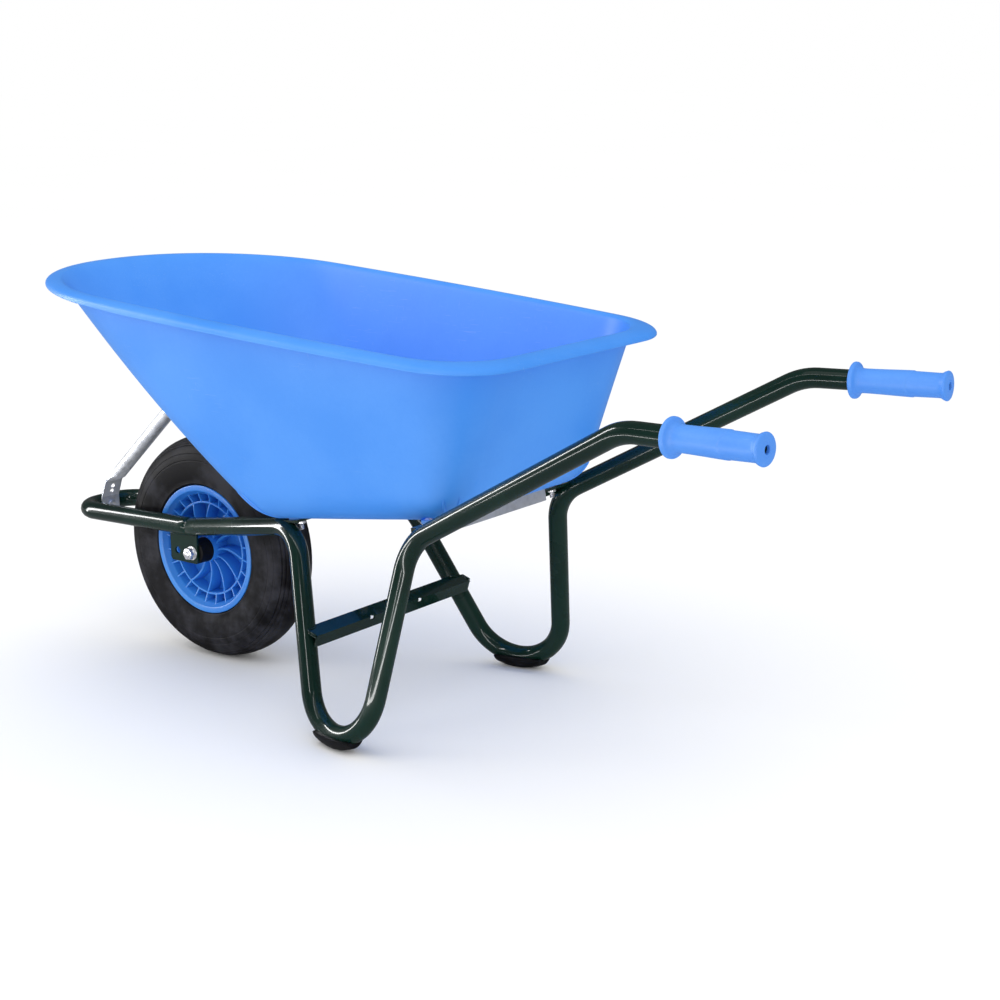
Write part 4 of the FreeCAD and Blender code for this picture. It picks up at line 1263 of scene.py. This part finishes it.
for piece, node_name in (
    (strut_washer, "strut_tray_washer"),
    (upper_bolt, "strut_tray_bolt"),
    (upper_nut, "strut_tray_nut"),
    (foot_bolt, "strut_foot_bolt"),
    (foot_nut, "strut_foot_nut"),
):
    shade(piece, 30.0)
    hand_over(piece, "zinc_bolt", "frame", node_name)

# %% The axle
bracket_face, axle_washer_thick = 70.0, 2.0
across_y = Vector((0.0, 1.0, 0.0))
seat_y = bracket_face + axle_washer_thick
head_at = turned_about(at(0.0, seat_y, 0.0) + Vector((0.0, 0.0, axle.z)), across_y, 10.0)
axle_length = 2.0 * seat_y + bolt_12["nut"] + 3.0
axle_bolt = joined(
    [
        hexagon(bolt_12["across"], bolt_12["head"], head_at),
        threaded(bolt_12, axle_length, 2.0 * seat_y - 2.0, head_at),
    ],
    "axle_bolt",
)
nut_at = turned_about(at(0.0, -seat_y, 0.0) + Vector((0.0, 0.0, axle.z)), -across_y, 22.0)
axle_nut = hexagon(bolt_12["across"], bolt_12["nut"], nut_at)
axle_nut.name = "axle_lock_nut"
axle_washers = []
for side in (1.0, -1.0):
    face = at(0.0, side * bracket_face, 0.0) + Vector((0.0, 0.0, axle.z))
    washer_at = line_frame(face, across_y * side, Vector((1.0, 0.0, 0.0)))
    axle_washers.append(ring_washer(6.3, 12.5, axle_washer_thick, washer_at))
washers = joined(axle_washers, "two_axle_washers")
for piece, node_name in ((axle_bolt, "axle"), (axle_nut, "axle_nut"), (washers, "axle_washers")):
    shade(piece, 30.0)
    hand_over(piece, "zinc_bolt", "frame", node_name)

# %% [markdown]
# ## Parts that only need a finish
# The strut, the cross strap, the brace, the brackets, the lugs and the foot pads already have
# their real shape in the drawing, so they keep their meshes and are only painted.

# %% Paint the pressed and cut parts
for node_name in ("front_strut", "rear_cross_strap"):
    paint(node_name, "zinc_plate")
for side in ("left", "right"):
    for part_name in ("axle_bracket", "rear_lug", "front_lug"):
        paint(f"{side}_{part_name}", "green_coat")
    paint(f"{side}_foot_pad", "black_plastic")
paint("leg_brace", "green_coat")

# %% [markdown]
# ## Floor, light and camera
# The barrow stands on a pale floor that runs out of sight. A big soft light above gives the
# plastic its even glow. Glossy tube looks best with long thin lights to mirror in a dark room,
# so strips stand round the barrow that only mirrors can see.


# %% The floor
def floor_finish(colour, painted_reflection_colour):
    """Pale paint, with a darker colour painted in for mirror rays only: a painted dim reflection, like a
    floor beyond the edge of a studio.
    """
    material, tree, shader, place = finish("pale_floor", Roughness=0.7, Specular_IOR_Level=0.0)
    soft = noise(tree, place, 1.4, 2.0)
    darker = tuple(channel * 0.985 for channel in colour[:3]) + (1.0,)
    ray = tree.nodes.new("ShaderNodeLightPath")
    seen = blended(tree, soft, colour, darker)
    # Painted reflection: mirror rays see the darker colour, the camera and diffuse light see the pale one.
    both = blended(tree, ray.outputs["Is Glossy Ray"], seen, painted_reflection_colour)
    tree.links.new(both, shader.inputs["Base Color"])
    return material


bpy.ops.object.select_all(action="DESELECT")
bpy.ops.mesh.primitive_plane_add(size=60.0, location=(0.0, 0.0, 0.0))
floor = bpy.context.object
floor.name = "studio_floor"
floor.data.materials.append(floor_finish((0.97, 0.97, 0.97, 1.0), (0.34, 0.34, 0.34, 1.0)))

# %% The sky: white to the eye, softer as a light, and dim in mirrors
scene = bpy.context.scene
sky = bpy.data.worlds.new("studio_sky")
sky.use_nodes = True
tree = sky.node_tree
ray = tree.nodes.new("ShaderNodeLightPath")
lit = blended(tree, ray.outputs["Is Glossy Ray"], (1.04, 1.04, 1.04, 1.0), (0.13, 0.13, 0.13, 1.0))
shown = blended(tree, ray.outputs["Is Camera Ray"], lit, (1.0, 1.0, 1.0, 1.0))
tree.links.new(shown, tree.nodes["Background"].inputs["Color"])
scene.world = sky
scene.view_settings.view_transform = "Standard"


# %% The lights
def area_light(name, place, aim, size, power):
    light = bpy.data.lights.new(name, "AREA")
    light.shape = "RECTANGLE"
    light.size, light.size_y = size
    light.energy = power
    lamp = bpy.data.objects.new(name, light)
    scene.collection.objects.link(lamp)
    lamp.location = Vector(place)
    lamp.rotation_euler = (Vector(aim) - Vector(place)).to_track_quat("-Z", "Y").to_euler()
    lamp.visible_camera = False
    return lamp


area_light("overhead_softbox", (0.2, -1.0, 3.2), (0.1, 0.0, 0.4), (3.0, 2.2), 14.0)
side_light = area_light("side_softbox", (-2.6, -2.4, 1.5), (0.0, 0.0, 0.3), (1.2, 1.6), 14.0)
side_light.visible_glossy = False
strips = [
    area_light("floor_strip", (0.3, -1.4, 0.04), (0.2, 0.0, 0.22), (4.0, 0.07), 20.0),
    area_light("camera_strip", (0.75, -3.0, 1.0), (0.1, 0.0, 0.2), (0.16, 2.2), 28.0),
    area_light("left_strip", (-2.1, -0.9, 0.9), (0.0, 0.0, 0.2), (0.22, 2.2), 44.0),
    area_light("upper_strip", (0.4, -1.3, 2.2), (0.2, 0.0, 0.3), (4.0, 0.06), 9.0),
    area_light("right_strip", (2.9, -1.7, 1.3), (-0.2, 0.1, 0.6), (0.16, 1.4), 9.0),
]
for strip in strips:
    strip.visible_diffuse = False

# %% [markdown]
# ## The camera
# The view is from the handle end, a little above the tray. Its direction is given as a turn
# about Z and a rise, with a slight roll, and its lens is a little long.

# %% Place the camera
turn, rise, roll = math.radians(36.509), math.radians(13.259), math.radians(-0.53)
distance, lens_mm, sensor_mm = 2.948, 68.8, 36.0
aim = Vector((axle.x + 0.701, 0.0, 0.394))
back = Vector((math.sin(turn) * math.cos(rise), -math.cos(turn) * math.cos(rise), math.sin(rise)))
level = Vector((math.cos(turn), math.sin(turn), 0.0))
upright = back.cross(level)
right = level * math.cos(roll) + upright * math.sin(roll)
up = upright * math.cos(roll) - level * math.sin(roll)
view = Matrix((right, up, back)).transposed().to_4x4()
view.translation = aim + back * distance
lens = bpy.data.cameras.new("studio_camera")
lens.lens, lens.sensor_width = lens_mm, sensor_mm
lens.shift_x, lens.shift_y = -0.0373, -0.0109
lens.clip_end = 200.0
camera = bpy.data.objects.new("studio_camera", lens)
scene.collection.objects.link(camera)
camera.matrix_world = view
scene.camera = camera
